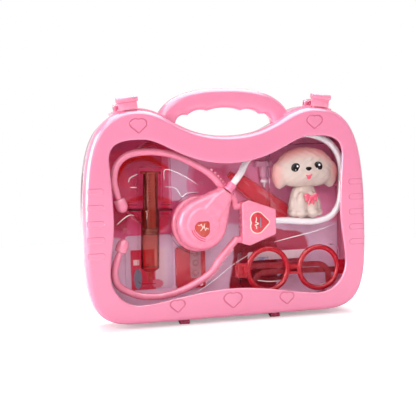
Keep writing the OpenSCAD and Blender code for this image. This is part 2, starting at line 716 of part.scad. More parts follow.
module at_syringe() {
    stand() translate([syringe_x, syringe_y, syringe_z]) rotate([0, syringe_tilt, 0]) children();
}

module syringe_barrel() {
    at_syringe() color([0.6, 0.35, 0.25, 0.5]) difference() {
        union() {
            cylinder(d = barrel_d, h = barrel_l);
            translate([0, 0, -3]) cylinder(r1 = nozzle_r + 1.6, r2 = barrel_d / 2, h = 3);
            translate([0, 0, -nozzle_l]) cylinder(r1 = nozzle_r - 0.8, r2 = nozzle_r + 0.4, h = nozzle_l - 2.5);
            translate([0, 0, barrel_l - 1.5]) linear_extrude(1.5) intersection() {
                circle(r = 19.5);
                square([40, 15], center = true);
            }
        }
        translate([0, 0, barrel_wall]) cylinder(r = bore_r, h = barrel_l);
        translate([0, 0, -nozzle_l - 1]) cylinder(r = 0.9, h = nozzle_l + 3);
    }
}

module syringe_plunger() {
    at_syringe() color([0.6, 0.3, 0.25, 0.6]) {
        rod_low = barrel_wall + travel + 1 + seal_h;
        difference() {
            translate([0, 0, rod_low]) cylinder(r = rod_r, h = barrel_l + plunger_out - rod_low);
            translate([0, 0, rod_low + 1.2]) cylinder(r = rod_r - 1.2, h = barrel_l + plunger_out);
        }
        translate([0, 0, barrel_l + plunger_out - 2]) cylinder(r = disc_r, h = 2);
        translate([0, 0, rod_low - 2]) cylinder(r = 2, h = 2 + eps);
    }
}

module plunger_seal() {
    at_syringe() color("dimgray") translate([0, 0, barrel_wall + travel + 1]) difference() {
        union() {
            cylinder(r = bore_r - seal_gap, h = 1.6);
            cylinder(r = bore_r - 0.8, h = seal_h);
            translate([0, 0, seal_h - 1.6]) cylinder(r = bore_r - seal_gap, h = 1.6);
        }
        translate([0, 0, seal_h - 2]) cylinder(r = 2, h = 3);
    }
}

/* Puppy */
neck_cut = puppy_z + 27;
head_deep = 12.2;
body_back = deep_floor - rest_gap;
head_c = [puppy_x, body_back - head_deep, puppy_z + puppy_h - 19];

module puppy_body() {
    stand() color("antiquewhite") intersection() {
        union() {
            hull() {
                translate([puppy_x, tray_y + 1, puppy_z + 9]) scale([17, 9.8, 9]) sphere(r = 1, $fn = 20);
                translate([puppy_x, tray_y + 1, neck_cut]) scale([14.5, 9, 6]) sphere(r = 1, $fn = 20);
            }
            for (side = [-1, 1]) hull() {
                translate([puppy_x + side * 7, tray_y - 5, puppy_z + 16]) scale([6, 6, 8]) sphere(r = 1, $fn = 16);
                translate([puppy_x + side * 7.5, tray_y - 7.5, puppy_z + 3.6]) scale([7, 6.5, 4]) sphere(r = 1, $fn = 16);
            }
            translate([puppy_x, body_back - 7, puppy_z + 7]) scale([14, 7, 7]) sphere(r = 1, $fn = 20);
        }
        translate([puppy_x - 30, tray_y - 20, puppy_z]) cube([60, 50, neck_cut - puppy_z]);
    }
}

// Head with its drooping ears moulded on, cut flat where it sits on the body
module puppy_head() {
    stand() color("seashell") difference() {
        union() {
            translate(head_c) scale([28, head_deep, 19]) sphere(r = 1, $fn = 28);
            for (side = [-1, 1]) hull() {
                translate(head_c + [side * 19, 1, 1]) scale([8, 6, 8]) sphere(r = 1, $fn = 16);
                translate([puppy_x + side * (puppy_w / 2 - 7.5), head_c[1] + 1, head_c[2] - 7]) scale([7.5, 6, 10])
                    sphere(r = 1, $fn = 16);
            }
            translate(head_c + [0, -11.3, -3]) scale([6.5, 4, 5]) sphere(r = 1, $fn = 16);
        }
        translate([puppy_x - 13, tray_y - 30, neck_cut - 30]) cube([26, 60, 30]);
    }
}

/* Glasses */
rim_y0 = tray_y - 7;
rim_r = rim_d / 2 - rim_t / 2;
temple_t = 1.9;
temple_h = 5;
temple_l = 92;
lug_w = 9;
lug_h = 13;
glasses_half = 55;

module at_glasses() {
    stand() translate([glasses_x, 0, glasses_z]) rotate([0, glasses_tilt, 0]) children();
}

module glasses_frame() {
    at_glasses() color("crimson") translate([0, rim_y0, 0]) {
        for (side = [-1, 1]) {
            translate([side * rim_gap / 2, 0, 0]) rotate([90, 0, 0]) rotate_extrude($fn = 64)
                translate([rim_r, 0]) circle(d = rim_t, $fn = 24);
            translate([side > 0 ? glasses_half - lug_w : -glasses_half, -rim_t / 2, -lug_h / 2])
                difference() {
                    cube([lug_w, rim_t, lug_h]);
                    translate([side > 0 ? 3.4 : 2, -1, 3]) cube([3.6, 2.2, lug_h - 6]);
                }
            translate([side > 0 ? glasses_half - 2 : -glasses_half, 0, -lug_h / 2])
                cube([2, tray_y - rest_gap - rim_y0, lug_h]);
        }
        translate([-rim_gap / 2 + rim_r, -1.5, 0]) cube([rim_gap - 2 * rim_r, 3, 4]);
        translate([-rim_gap / 2 + rim_r, -1.5, -5]) cube([rim_gap - 2 * rim_r, 3, 2.4]);
    }
}

// Folded temple: straight bar with a curved ear hook, drawn from its hinge towards +X
hook_r = 9;
hook_drop = 7;
function quarter(c, r, from, to) = [for (k = [0:8]) let (a = from + (to - from) * k / 8) c + r * [cos(a), sin(a)]];
temple_c = [temple_l - hook_r - temple_h, -hook_r];
temple_pts = concat([[0, 0], [0, temple_h]], quarter(temple_c, hook_r + temple_h, 90, 0),
    [[temple_l, -hook_r - hook_drop], [temple_l - temple_h, -hook_r - hook_drop]], quarter(temple_c, hook_r, 0, 90));

module glasses_left_temple() {
    at_glasses() color("firebrick") translate([2 + rest_gap - glasses_half, 0, 0.5])
        plate(tray_y - rest_gap - 2 * temple_t - 0.2, tray_y - rest_gap - temple_t - 0.2) polygon(temple_pts);
}

module glasses_right_temple() {
    at_glasses() color("firebrick") translate([glasses_half - 2 - rest_gap, 0, -5.5])
        mirror([1, 0, 0]) plate(tray_y - rest_gap - temple_t, tray_y - rest_gap) polygon(temple_pts);
}

// Small one-piece tweezers on the floor of the glasses pocket, bent round at one end
tweezers_t = 4;
tweezers_bend = 5.2;
tweezers_arm = 3;
tweezers_l = 38;
function bend_arc(r, from, to) = [for (k = [0:12]) let (a = from + (to - from) * k / 12) r * [cos(a), sin(a)]];
tweezers_half = [[tweezers_l - 6, 1.2], [tweezers_l, 0.4], [tweezers_l, 2.6], [tweezers_l - 8, 5]];
tweezers_pts = concat(
    bend_arc(tweezers_bend + tweezers_arm, 90, 270),
    [for (p = reversed(tweezers_half)) [p[0], -p[1]]],
    bend_arc(tweezers_bend, 270, 90),
    tweezers_half);

module tweezers() {
    stand() color("darkred") translate([glasses_x - 9, 0, glasses_z - 4])
        plate(deep_floor - rest_gap - tweezers_t, deep_floor - rest_gap) rotate(188) polygon(tweezers_pts);
}

/* Back layer */
dish_x = place_x(-72);
dish_z = place_z(118);
dish_front = deep_floor - 2.5;
// Kidney outline, w wide and l long, bent by b at its ends
function kidney(w, l, b) = [for (a = [0:11.25:359]) [dish_x + w / 2 * sin(a) + b * cos(a) * cos(a), dish_z + l / 2 * cos(a)]];

module kidney_dish() {
    stand() color("red") loft([
        ring(kidney(40, 74, 12), shelf_y), ring(kidney(46, 82, 13), dish_front + 1.2),
        ring(kidney(50, 86, 13), dish_front + 1.2), ring(kidney(50, 86, 13), dish_front),
        ring(kidney(44, 80, 13), dish_front), ring(kidney(37.6, 71.6, 12), shelf_y - 1.2)]);
}

module badge_card() {
    stand() color("lavender") plate(shelf_y - 1, shelf_y)
        polygon(rounded(box_pts(place_x(-88), place_z(22), place_x(-43), place_z(72)), 4));
}

board_t = 4;
dome_sheet = 0.5;
module pill_board() {
    stand() color("red") plate(shelf_y - board_t, shelf_y)
        polygon(rounded(box_pts(place_x(-41), place_z(21), place_x(-13), place_z(59)), 3));
}

module pill_domes() {
    stand() color([1, 0.9, 0.95, 0.6]) translate([place_x(-22.6), shelf_y - board_t - dome_sheet, place_z(44)]) {
        plate(0, dome_sheet) polygon(rounded(box_pts(-5, -14, 5, 14), 2));
        for (i = [-1:1]) difference() {
            translate([0, dome_sheet / 2, i * 9]) sphere(r = 2.9);
            translate([-5, dome_sheet / 2, i * 9 - 5]) cube(10);
        }
    }
}

// Ear scope: drop-shaped grip that narrows to a cone
scope_turn = 143;
scope_big = 10;
scope_small = 7.5;
scope_l = 45;
scope_t = 11;
scope_tip = 8;
scope_neck_r = 5;
scope_end_r = 3;
// How far the scope's big end lies under the bottle's neck
scope_drop = 30;
scope_y = shelf_y - scope_t / 2;
scope_steps = [[0.8, -1], [0.95, -0.7], [1, -0.3], [1, 0.3], [0.95, 0.7], [0.8, 1]];

module otoscope() {
    stand() color("red") translate([place_x(60), scope_y, bottle_z - scope_drop]) {
        loft([for (s = scope_steps) ring(reversed(teardrop(scope_big * s[0], scope_small * s[0], scope_l, scope_turn)),
            -scope_t / 2 * s[1])]);
        rotate([0, 90 - scope_turn, 0]) translate([0, 0, scope_l])
            cylinder(r1 = scope_neck_r, r2 = scope_end_r, h = scope_small + scope_tip);
    }
}

// Dropper bottle upside down: a wide flat base on top, its cap and nozzle below
bottle_r = 4.3;
bottle_l = 12.4;
bottle_gap = 1.4;
base_w = 17;
base_t = 8;
base_l = 4.6;
bottle_x = place_x(46);
bottle_z = place_z(119);
bottle_y = shelf_y - bottle_r - bottle_gap;

module dropper_bottle() {
    stand() color("pink") translate([bottle_x, bottle_y, bottle_z]) {
        rotate_extrude() polygon([[0, 0], [3.2, 0], [3.2, 1.6], [bottle_r, 3], [bottle_r, bottle_l + eps], [0, bottle_l + eps]]);
        translate([0, 0, bottle_l]) linear_extrude(base_l)
            polygon(rounded(box_pts(-base_w / 2, -base_t / 2, base_w / 2, base_t / 2), 2.5));
    }
}

module dropper_cap() {
    stand() color("mistyrose") translate([bottle_x, bottle_y, bottle_z]) rotate_extrude()
        polygon([[0, -7], [0.9, -7], [1.6, -3.2], [3.8, -2.8], [3.8, 0], [0, 0]]);
}

module pocket_label() {
    stand() color("mistyrose") plate(deep_floor - label_t, deep_floor)
        polygon(rounded(box_pts(glasses_x - 38, glasses_z + 7, glasses_x + 22, glasses_z + 15), 2));
}

back_shell();
lid_frame();
window_pane();
latch(-1);  // left_latch
latch(1);  // right_latch
blister_tray();
insert_card();
chest_piece_base();
chest_piece_bell();
chest_piece_diaphragm();
tube_collar();
chest_heart_label();
stethoscope_tube();
yoke_front();
yoke_back();
yoke_heart_label();
upper_ear_arm();
lower_ear_arm();
upper_ear_tip();
lower_ear_tip();
syringe_barrel();
syringe_plunger();
plunger_seal();
puppy_body();
puppy_head();
glasses_frame();
glasses_left_temple();
glasses_right_temple();
tweezers();
kidney_dish();
badge_card();
pill_board();
pill_domes();
otoscope();
dropper_bottle();
dropper_cap();
pocket_label();
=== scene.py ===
"""Toy doctor case with its instruments, worked out in millimetres over the case body and shown in metres."""

import bmesh
import bpy
import numpy as np
from mathutils import Matrix


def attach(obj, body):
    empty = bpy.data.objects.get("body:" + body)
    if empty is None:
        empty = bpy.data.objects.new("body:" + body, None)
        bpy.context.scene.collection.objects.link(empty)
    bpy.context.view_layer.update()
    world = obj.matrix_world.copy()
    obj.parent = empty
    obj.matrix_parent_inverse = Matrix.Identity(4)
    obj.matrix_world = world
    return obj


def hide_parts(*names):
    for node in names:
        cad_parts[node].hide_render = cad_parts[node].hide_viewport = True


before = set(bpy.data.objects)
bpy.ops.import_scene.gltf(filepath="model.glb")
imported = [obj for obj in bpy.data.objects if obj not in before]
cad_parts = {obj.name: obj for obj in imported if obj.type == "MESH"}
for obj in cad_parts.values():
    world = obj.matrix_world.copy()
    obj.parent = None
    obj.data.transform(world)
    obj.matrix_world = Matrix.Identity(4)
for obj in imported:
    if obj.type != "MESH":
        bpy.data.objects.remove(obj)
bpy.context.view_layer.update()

MM = 0.001
# Height of the case over the ground, then its sizes and the depths of its layers from front to back
STAND = 4.1
CASE_W, CASE_H, DIP = 264.0, 187.0, 24.0
HALF_W, DIP_Z = CASE_W / 2, CASE_H - DIP
HUMP_X, HUMP_IN, HUMP_OUT, DIP_RUN = 82.0, 27.0, 48.0, 45.0
SHOULDER_Z, SIDE_Z, CORNER_Z, CORNER_X, CORNER_RUN = 140.0, 64.0, 18.0, 8.0, 42.0
FRONT, PANE, PART, TRAY, FLOOR, BACK = -24.0, -22.0, -14.0, -4.0, 22.0, 24.0
WALL, DRAFT, BACK_R, EDGE_R = 2.0, 4.0, 5.0, 4.5
SEAM = 0.15
HINGE_X, HINGE_Z = 43, -2.2
PIVOT_Y, PIVOT_Z = -1.0, 4.6
SYRINGE_X = -69.4
YOKE_X, YOKE_Z, YOKE_FACE = 13.0, 83.6, -16.3
# Points of an outline for each unit of its stretches
FINE = 8
# Width, middle and lobe radius of a heart whose square has unit sides, and the share of its width it grows by
HEART_W, HEART_MID, LOBE_R, PLUMP = 1.208, 0.56, 0.35355, 0.13
# Thickness of a printed label and how deep its prints sit in it, then the height of the plastic's grain in metres
LABEL, SUNK = 0.4, 0.02
GRAIN = 0.000004


# Shapes

def unit(v):
    """Vectors over their own length."""
    return v / np.linalg.norm(v, axis=-1, keepdims=True)


def cos_sin(degrees):
    """Cosine and sine of an angle in degrees."""
    return np.cos(np.radians(degrees)), np.sin(np.radians(degrees))


def quarter(n):
    """Angles of a quarter turn in n steps."""
    return np.linspace(0, np.pi / 2, n + 1)


def rolled(r, n):
    """Inset and depth along a rounded edge of radius r, from the face to the side, in n steps."""
    return [(r * (1 - np.sin(a)), r * (1 - np.cos(a))) for a in quarter(n)]


def bezier(n, *handles):
    """Cubic curve through its end handles, n points from t = 0, without its last."""
    t = (np.arange(n) / n)[:, None]
    a, b, c, d = np.array(handles, float)
    return (1 - t) ** 3 * a + 3 * (1 - t) ** 2 * t * b + 3 * (1 - t) * t * t * c + t ** 3 * d


def chain(start, *stretches):
    """Cubic curves end to end from a start, each of n points, its two handles and its end."""
    parts = []
    for n, *handles in stretches:
        parts.append(bezier(n * FINE, start, *handles))
        start = handles[-1]
    return np.concatenate(parts)


def mirrored(half):
    """Half an outline and its mirror image over the middle, as one closed outline."""
    return np.concatenate([half, half[-2:0:-1] * [-1, 1]])


def inset(outline, d):
    """Each point of a clockwise outline moved by d square to the run of its neighbours."""
    run = unit(np.roll(outline, -1, axis=0) - np.roll(outline, 1, axis=0))
    return outline + d * np.column_stack((run[:, 1], -run[:, 0]))


def at_depth(outline, y):
    """Outline in width and height as points at depth y."""
    return np.column_stack((outline[:, 0], np.full(len(outline), float(y)), outline[:, 1]))


def rounded(corners, r, n=6):
    """Polygon whose corners are arcs of radius r, each of n + 1 points between its two tangent points."""
    b = np.array(corners, float)
    u, v = unit(np.roll(b, 1, axis=0) - b), unit(np.roll(b, -1, axis=0) - b)
    half = np.arccos(np.clip((u * v).sum(1), -1, 1)) / 2
    r = np.broadcast_to(np.array(r, float), half.shape)
    mid = b + unit(u + v) * (r / np.sin(half))[:, None]
    p, q = b + u * (r / np.tan(half))[:, None] - mid, b + v * (r / np.tan(half))[:, None] - mid
    start = np.arctan2(p[:, 1], p[:, 0])
    turn = (np.arctan2(q[:, 1], q[:, 0]) - start + np.pi) % (2 * np.pi) - np.pi
    a = start[:, None] + turn[:, None] * np.linspace(0, 1, n + 1)
    arcs = mid[:, None] + r[:, None, None] * np.stack((np.cos(a), np.sin(a)), axis=2)
    return arcs.reshape(-1, 2)


def spline(points, n):
    """Smooth curve through points, each span a cubic of its four nearest, in n steps."""
    p = np.array(points, float)
    a, b, c, d = (p[np.clip(np.arange(len(p) - 1) + k, 0, len(p) - 1)][:, None] for k in (-1, 0, 1, 2))
    t = (np.arange(n) / n)[None, :, None]
    s = 0.5 * (2 * b + (c - a) * t + (2 * a - 5 * b + 4 * c - d) * t ** 2 + (3 * b - a - 3 * c + d) * t ** 3)
    return np.concatenate([s.reshape(-1, p.shape[1]), p[-1:]])


def loft(rings, closed=False):
    """Skin over rings of equal length, with flat ends unless the last ring meets the first."""
    r = np.array(rings, float)
    m, n = r.shape[:2]
    j, i = np.meshgrid(np.arange(m if closed else m - 1), np.arange(n), indexing="ij")
    k, i2 = (j + 1) % m, (i + 1) % n
    faces = np.stack((j * n + i, j * n + i2, k * n + i2, k * n + i), axis=2).reshape(-1, 4).tolist()
    if not closed:
        faces += [list(range(n))[::-1], [(m - 1) * n + x for x in range(n)]]
    return r.reshape(-1, 3), faces


def revolve(profile, centre, axis, n=64):
    """Profile of radius and height carried round an axis from its centre."""
    p = np.array(profile, float)
    w = unit(np.array(axis, float))
    u = unit(np.cross(w, [0.0, 1.0, 0.0] if abs(w[1]) < 0.9 else [1.0, 0.0, 0.0]))
    v = np.cross(w, u)
    a = np.arange(n) * 2 * np.pi / n
    around = np.cos(a)[:, None] * u + np.sin(a)[:, None] * v
    return loft(np.array(centre, float) + p[:, None, 1:2] * w + p[:, None, :1] * around[None])


def drum(centre, r, half, bevel=0.0, n=20):
    """Cylinder along the width of the case, reaching half to each side, with bevelled ends where asked."""
    end = [[r, half - bevel], [r - bevel, half]] if bevel else [[r, half]]
    return revolve([[0, -half], *([x, -z] for x, z in end[::-1]), *end, [0, half]], centre, (1, 0, 0), n)


def tube(path, radius, n=20):
    """Circle carried along a path that keeps near the plane of the lid."""
    p = np.array(path, float)
    run = unit(np.gradient(p, axis=0))
    u = unit(np.cross([0.0, 1.0, 0.0], run))
    v = np.cross(run, u)
    r = np.broadcast_to(np.array(radius, float), len(p))
    a = -np.arange(n) * 2 * np.pi / n
    ring = np.cos(a)[None, :, None] * u[:, None] + np.sin(a)[None, :, None] * v[:, None]
    return loft(p[:, None] + r[:, None, None] * ring)


def slab(outline, y0, y1, bevel=0.4, steps=3, far=None):
    """Outline carried through the depth, with a rounded edge at both faces; the far one can have its own."""
    near = [at_depth(inset(outline, c), y0 + b) for c, b in rolled(bevel, steps)]
    return loft(near + [at_depth(inset(outline, c), y1 - b) for c, b in rolled(far or bevel, steps)[::-1]])


def block(x0, x1, y0, y1, z0, z1, r=0.4):
    """Box with rounded edges from its low and high corners."""
    return slab(rounded([[x0, z1], [x1, z1], [x1, z0], [x0, z0]], r, 3), y0, y1, r)


def about_y(degrees):
    """Turn in the plane of the lid that takes up towards the right."""
    c, s = cos_sin(degrees)
    return np.array([[c, 0, s], [0, 1, 0], [-s, 0, c]])


def ellipsoids(p, blobs, k):
    """Smooth union of ellipsoids (centre, radii, lean): a soft least of their distances over a length k."""
    total = 0
    for centre, radii, lean in blobs:
        q = (p - np.array(centre, float)) @ about_y(lean)
        r = np.array(radii, float)
        k0, k1 = np.linalg.norm(q / r, axis=-1), np.linalg.norm(q / r ** 2, axis=-1) + 1e-9
        total = total + np.exp(-np.clip(k0 * (k0 - 1) / k1, -40, 60) / k)
    return -k * np.log(total)


def rounded_body(centre, blobs, k, reach, rows, cols, ripple=None):
    """Skin of a smooth union: along each ray from the centre, the farthest place where the union ends."""
    t, f = np.meshgrid(np.linspace(0, np.pi, rows), np.arange(cols) * 2 * np.pi / cols, indexing="ij")
    ray = np.stack((np.sin(t) * np.cos(f), np.sin(t) * np.sin(f), np.cos(t)), axis=2)
    c = np.array(centre, float)
    steps = np.linspace(0.02, 1, 56) * reach
    inside = np.stack([ellipsoids(c + s * ray, blobs, k) < 0 for s in steps])
    last = len(steps) - 1 - np.argmax(inside[::-1], axis=0)
    low, high = steps[last], steps[np.minimum(last + 1, len(steps) - 1)]
    for _ in range(12):
        mid = (low + high) / 2
        within = ellipsoids(c + mid[..., None] * ray, blobs, k) < 0
        low, high = np.where(within, mid, low), np.where(within, high, mid)
    skin = c + low[..., None] * ray
    if ripple is not None:
        skin = skin + ripple(skin)[..., None] * ray
    return loft(skin)


def show(name, mesh, w, sharp, body, nodes, slot):
    """Object of a mesh on a body, smooth below the sharp angle, in place of the nodes that it dresses."""
    mesh.shade_smooth()
    mesh.set_sharp_from_angle(angle=np.radians(sharp))
    mesh.materials.clear()
    mesh.materials.append(w.material)
    obj = bpy.data.objects.new(name, mesh)
    bpy.context.scene.collection.objects.link(obj)
    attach(obj, body)
    if nodes:
        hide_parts(*nodes)
    return obj


def piece(name, parts, w, *nodes, slot=None, body="case", sharp=38):
    """Parts as one mesh at its place over the stand, seams and poles merged and faces outwards."""
    points, faces = [], []
    for p, f in parts:
        first = sum(map(len, points))
        points.append(p)
        faces += [[i + first for i in face] for face in f]
    mesh = bpy.data.meshes.new(name)
    mesh.from_pydata(((np.concatenate(points) + [0, 0, STAND]) * MM).tolist(), [], faces)
    bm = bmesh.new()
    bm.from_mesh(mesh)
    bmesh.ops.remove_doubles(bm, verts=bm.verts, dist=2e-6)
    bmesh.ops.recalc_face_normals(bm, faces=bm.faces)
    bm.to_mesh(mesh)
    bm.free()
    return show(name, mesh, w, sharp, body, nodes, slot)


def softened(name, node, w, slot, bevel, sharp=35):
    """Merged copy of a CAD node whose edges over the sharp angle get a rounded bevel."""
    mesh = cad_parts[node].data.copy()
    mesh.name = name
    bm = bmesh.new()
    bm.from_mesh(mesh)
    bmesh.ops.remove_doubles(bm, verts=bm.verts, dist=1e-6)
    bmesh.ops.dissolve_limit(bm, angle_limit=np.radians(0.4), verts=bm.verts, edges=bm.edges)
    bm.to_mesh(mesh)
    bm.free()
    obj = show(name, mesh, w, sharp, "case", [node], slot)
    edge = obj.modifiers.new("rounded edges", "BEVEL")
    edge.width, edge.segments, edge.limit_method = bevel * MM, 2, "ANGLE"
    edge.angle_limit, edge.use_clamp_overlap = np.radians(sharp), True


def use(w, slot, *nodes):
    """Gives kept CAD nodes the material."""
    for n in nodes:
        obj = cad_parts[n]
        obj.data.materials.clear()
        obj.data.materials.append(w.material)


# Shader tools

def srgb(r, g, b):
    """Screen colour of 0 to 255 as the linear colour of a shader socket."""
    c = np.array([r, g, b], float) / 255
    return (*np.where(c <= 0.04045, c / 12.92, ((c + 0.055) / 1.055) ** 2.4), 1.0)


class Wiring:
    """Nodes of one tree, linked by name. On a surface it also holds the place and the colour so far."""

    def __init__(self, tree):
        self.tree = tree
        tree.nodes.clear()

    def feed(self, node, inputs):
        """Links or sets the named inputs of a node."""
        for key, value in inputs.items():
            if isinstance(value, bpy.types.NodeSocket):
                self.tree.links.new(value, node.inputs[key])
            else:
                node.inputs[key].default_value = value
        return node

    def node(self, kind, inputs=None, **settings):
        n = self.tree.nodes.new(kind)
        for key, value in settings.items():
            setattr(n, key, value)
        return self.feed(n, inputs or {})

    def math(self, operation, *values, clamp=False):
        n = self.node("ShaderNodeMath", dict(enumerate(values)), operation=operation, use_clamp=clamp)
        return n.outputs[0]

    def add(self, a, b):
        return self.math("ADD", a, b)

    def less(self, a, b):
        return self.math("SUBTRACT", a, b)

    def times(self, a, b):
        return self.math("MULTIPLY", a, b)

    def most(self, a, b):
        return self.math("MAXIMUM", a, b)

    def off(self, a, b):
        """How far a value is from another."""
        return self.math("ABSOLUTE", self.less(a, b))

    def length(self, a, b):
        return self.math("SQRT", self.add(self.times(a, a), self.times(b, b)))

    def vector(self, operation, *values, out=0):
        return self.node("ShaderNodeVectorMath", dict(enumerate(values)), operation=operation).outputs[out]

    def turn(self, where, degrees, centre=(0, 0, 0)):
        """Place turned in the plane of the lid."""
        inputs = {"Vector": where, "Center": centre, "Angle": np.radians(degrees)}
        return self.node("ShaderNodeVectorRotate", inputs, rotation_type="Y_AXIS").outputs[0]

    def mix(self, factor, a, b):
        return self.node("ShaderNodeMix", {0: factor, 6: a, 7: b}, data_type="RGBA").outputs[2]

    def ramp(self, value, low, high, a=0.0, b=1.0):
        inputs = {0: value, 1: low, 2: high, 3: a, 4: b}
        return self.node("ShaderNodeMapRange", inputs, interpolation_type="SMOOTHSTEP").outputs[0]

    def noise(self, scale, detail=2.0, roughness=0.5, where=None):
        inputs = {"Vector": where or self.where, "Scale": scale, "Detail": detail, "Roughness": roughness}
        return self.node("ShaderNodeTexNoise", inputs).outputs["Fac"]

    def bump(self, height, distance, normal=None, **settings):
        inputs = {"Height": height, "Distance": distance, "Strength": 1.0}
        if normal:
            inputs["Normal"] = normal
        return self.node("ShaderNodeBump", inputs, **settings).outputs[0]

    def split(self, where=None):
        """Takes the place apart into its x, y and z."""
        self.x, self.y, self.z = self.node("ShaderNodeSeparateXYZ", {0: where or self.where}).outputs

    def line(self, value, middle, core, edge, high=1.0):
        """Mask of a line in millimetres: high over its core, and gone at its edge."""
        return self.ramp(self.off(value, middle * MM), core * MM, edge * MM, high, 0.0)

    def patch(self, x0, x1, z0, z1, soft=0.4):
        """Mask of a rectangle in millimetres, with corners and edges softened over a width."""
        dx, dz = (self.less(self.off(at, (low + high) / 2 * MM), (high - low) / 2 * MM)
                  for at, low, high in ((self.x, x0, x1), (self.z, z0, z1)))
        return self.ramp(self.math("SMOOTH_MAX", dx, dz, 2 * soft * MM), -soft * MM, soft * MM, 1.0, 0.0)

    def spot(self, x, z, rx, rz, soft=0.1):
        """Mask of an ellipse in millimetres, its edge softened over a share of its radii."""
        dx, dz = (self.math("DIVIDE", self.less(at, middle * MM), r * MM)
                  for at, middle, r in ((self.x, x, rx), (self.z, z, rz)))
        return self.ramp(self.length(dx, dz), 1 - soft, 1 + soft, 1.0, 0.0)

    def paint(self, mask, tint):
        """Lays a tint over the colour where the mask is one."""
        self.colour = self.mix(mask, self.colour, tint)
        self.feed(self.shader, {"Base Color": self.colour})


def group(name, inputs, outputs):
    """New shader group with its named sockets; returns its wiring, its inputs and its output node."""
    tree = bpy.data.node_groups.new(name, "ShaderNodeTree")
    for label, kind, default in inputs:
        s = tree.interface.new_socket(label, in_out="INPUT", socket_type="NodeSocket" + kind)
        if default is not None:
            s.default_value = default
    for label, kind in outputs:
        tree.interface.new_socket(label, in_out="OUTPUT", socket_type="NodeSocket" + kind)
    w = Wiring(tree)
    return w, w.node("NodeGroupInput").outputs, w.node("NodeGroupOutput")


def moulded_finish():
    """Colour that drifts a little over the part and pales on its edges, with a roughness and a fine grain."""
    w, i, o = group("moulded finish",
                    [("Where", "Vector", None), ("Colour", "Color", None), ("Edge Colour", "Color", None),
                     ("Drift", "Float", 0.06), ("Smooth", "Float", 0.2), ("Rough", "Float", 0.28)],
                    [("Colour", "Color"), ("Roughness", "Float"), ("Grain", "Float")])
    w.where = i["Where"]
    slow, fine, scuffs = w.noise(24.0, 3.0), w.noise(1400.0, 2.0), w.noise(160.0, 5.0, 0.65)
    darker = w.mix(w.times(w.ramp(slow, 0.3, 0.75), i["Drift"]), i["Colour"], (0.35, 0.08, 0.14, 1.0))
    # Convex edges turn to the paler edge colour in patches.
    edge = w.ramp(w.node("ShaderNodeNewGeometry").outputs["Pointiness"], 0.515, 0.58)
    paler_edge_patches = w.times(edge, w.ramp(scuffs, 0.3, 0.7, 0.35, 0.8))
    span = w.less(i["Rough"], i["Smooth"])
    w.feed(o, {"Colour": w.mix(paler_edge_patches, darker, i["Edge Colour"]),
               "Roughness": w.math("MULTIPLY_ADD", w.ramp(scuffs, 0.35, 0.7), span, i["Smooth"]),
               "Grain": w.math("MULTIPLY_ADD", slow, 2.0, fine)})
    return w.tree


def heart_distance():
    """Distance to a plump heart with its point down, negative inside: the arc of each lobe where across plus
    up is over one and the straight flank below it, grown by a share of the width."""
    w, i, o = group("heart distance", [("Where", "Vector", None), ("Centre", "Vector", None),
                                       ("Width", "Float", 0.02), ("Plump", "Float", PLUMP)],
                    [("Distance", "Float")])
    soft = w.times(i["Width"], i["Plump"])
    scale = w.math("DIVIDE", w.math("MULTIPLY_ADD", soft, -2.0, i["Width"]), HEART_W)
    w.split(w.vector("SUBTRACT", i["Where"], i["Centre"]))
    x = w.math("DIVIDE", w.math("ABSOLUTE", w.x), scale)
    y = w.add(w.math("DIVIDE", w.z, scale), HEART_MID)
    total = w.add(x, y)
    lobe = w.less(w.length(w.less(x, 0.25), w.less(y, 0.75)), LOBE_R)
    half = w.times(w.most(total, 0.0), 0.5)
    flank = w.math("MINIMUM", w.length(x, w.less(y, 1.0)), w.length(w.less(x, half), w.less(y, half)))
    flank = w.times(flank, w.math("SIGN", w.less(x, y)))
    over = w.math("GREATER_THAN", total, 1.0)
    d = w.add(w.times(over, lobe), w.times(w.less(1.0, over), flank))
    w.feed(o, {"Distance": w.less(w.times(d, scale), soft)})
    return w.tree


FINISH = moulded_finish()
HEART = heart_distance()


def surface(name):
    """Wiring of a new material, with its Principled shader and its place in the object's own coordinates."""
    material = bpy.data.materials.new(name)
    material.use_nodes = True
    w = Wiring(material.node_tree)
    w.material = material
    w.where = w.node("ShaderNodeTexCoord").outputs["Object"]
    w.shader = w.node("ShaderNodeBsdfPrincipled")
    w.out = w.node("ShaderNodeOutputMaterial", {"Surface": w.shader.outputs[0]})
    return w


def moulded(name, colour, edge=None, drift=0.05, smooth=0.18, rough=0.25, coat=0.3, soft=0.0, gloss=0.5):
    """Moulded plastic: the finish group's colour, roughness and grain, with a clear coat where it shines."""
    w = surface(name)
    pale = edge or tuple(min(1.0, c * 1.12 + 0.03) for c in colour[:3]) + (1.0,)
    g = w.node("ShaderNodeGroup", {"Where": w.where, "Colour": colour, "Edge Colour": pale, "Drift": drift,
                                   "Smooth": smooth, "Rough": rough}, node_tree=FINISH).outputs
    w.colour, w.normal = g["Colour"], w.bump(g["Grain"], GRAIN)
    w.feed(w.shader, {"Base Color": w.colour, "Roughness": g["Roughness"], "Normal": w.normal,
                      "Specular IOR Level": gloss, "Coat Weight": coat, "Coat Roughness": 0.08})
    if soft:
        w.feed(w.shader, {"Subsurface Weight": soft, "Subsurface Radius": (0.004, 0.0015, 0.0015),
                          "Subsurface Scale": 1.0})
    return w


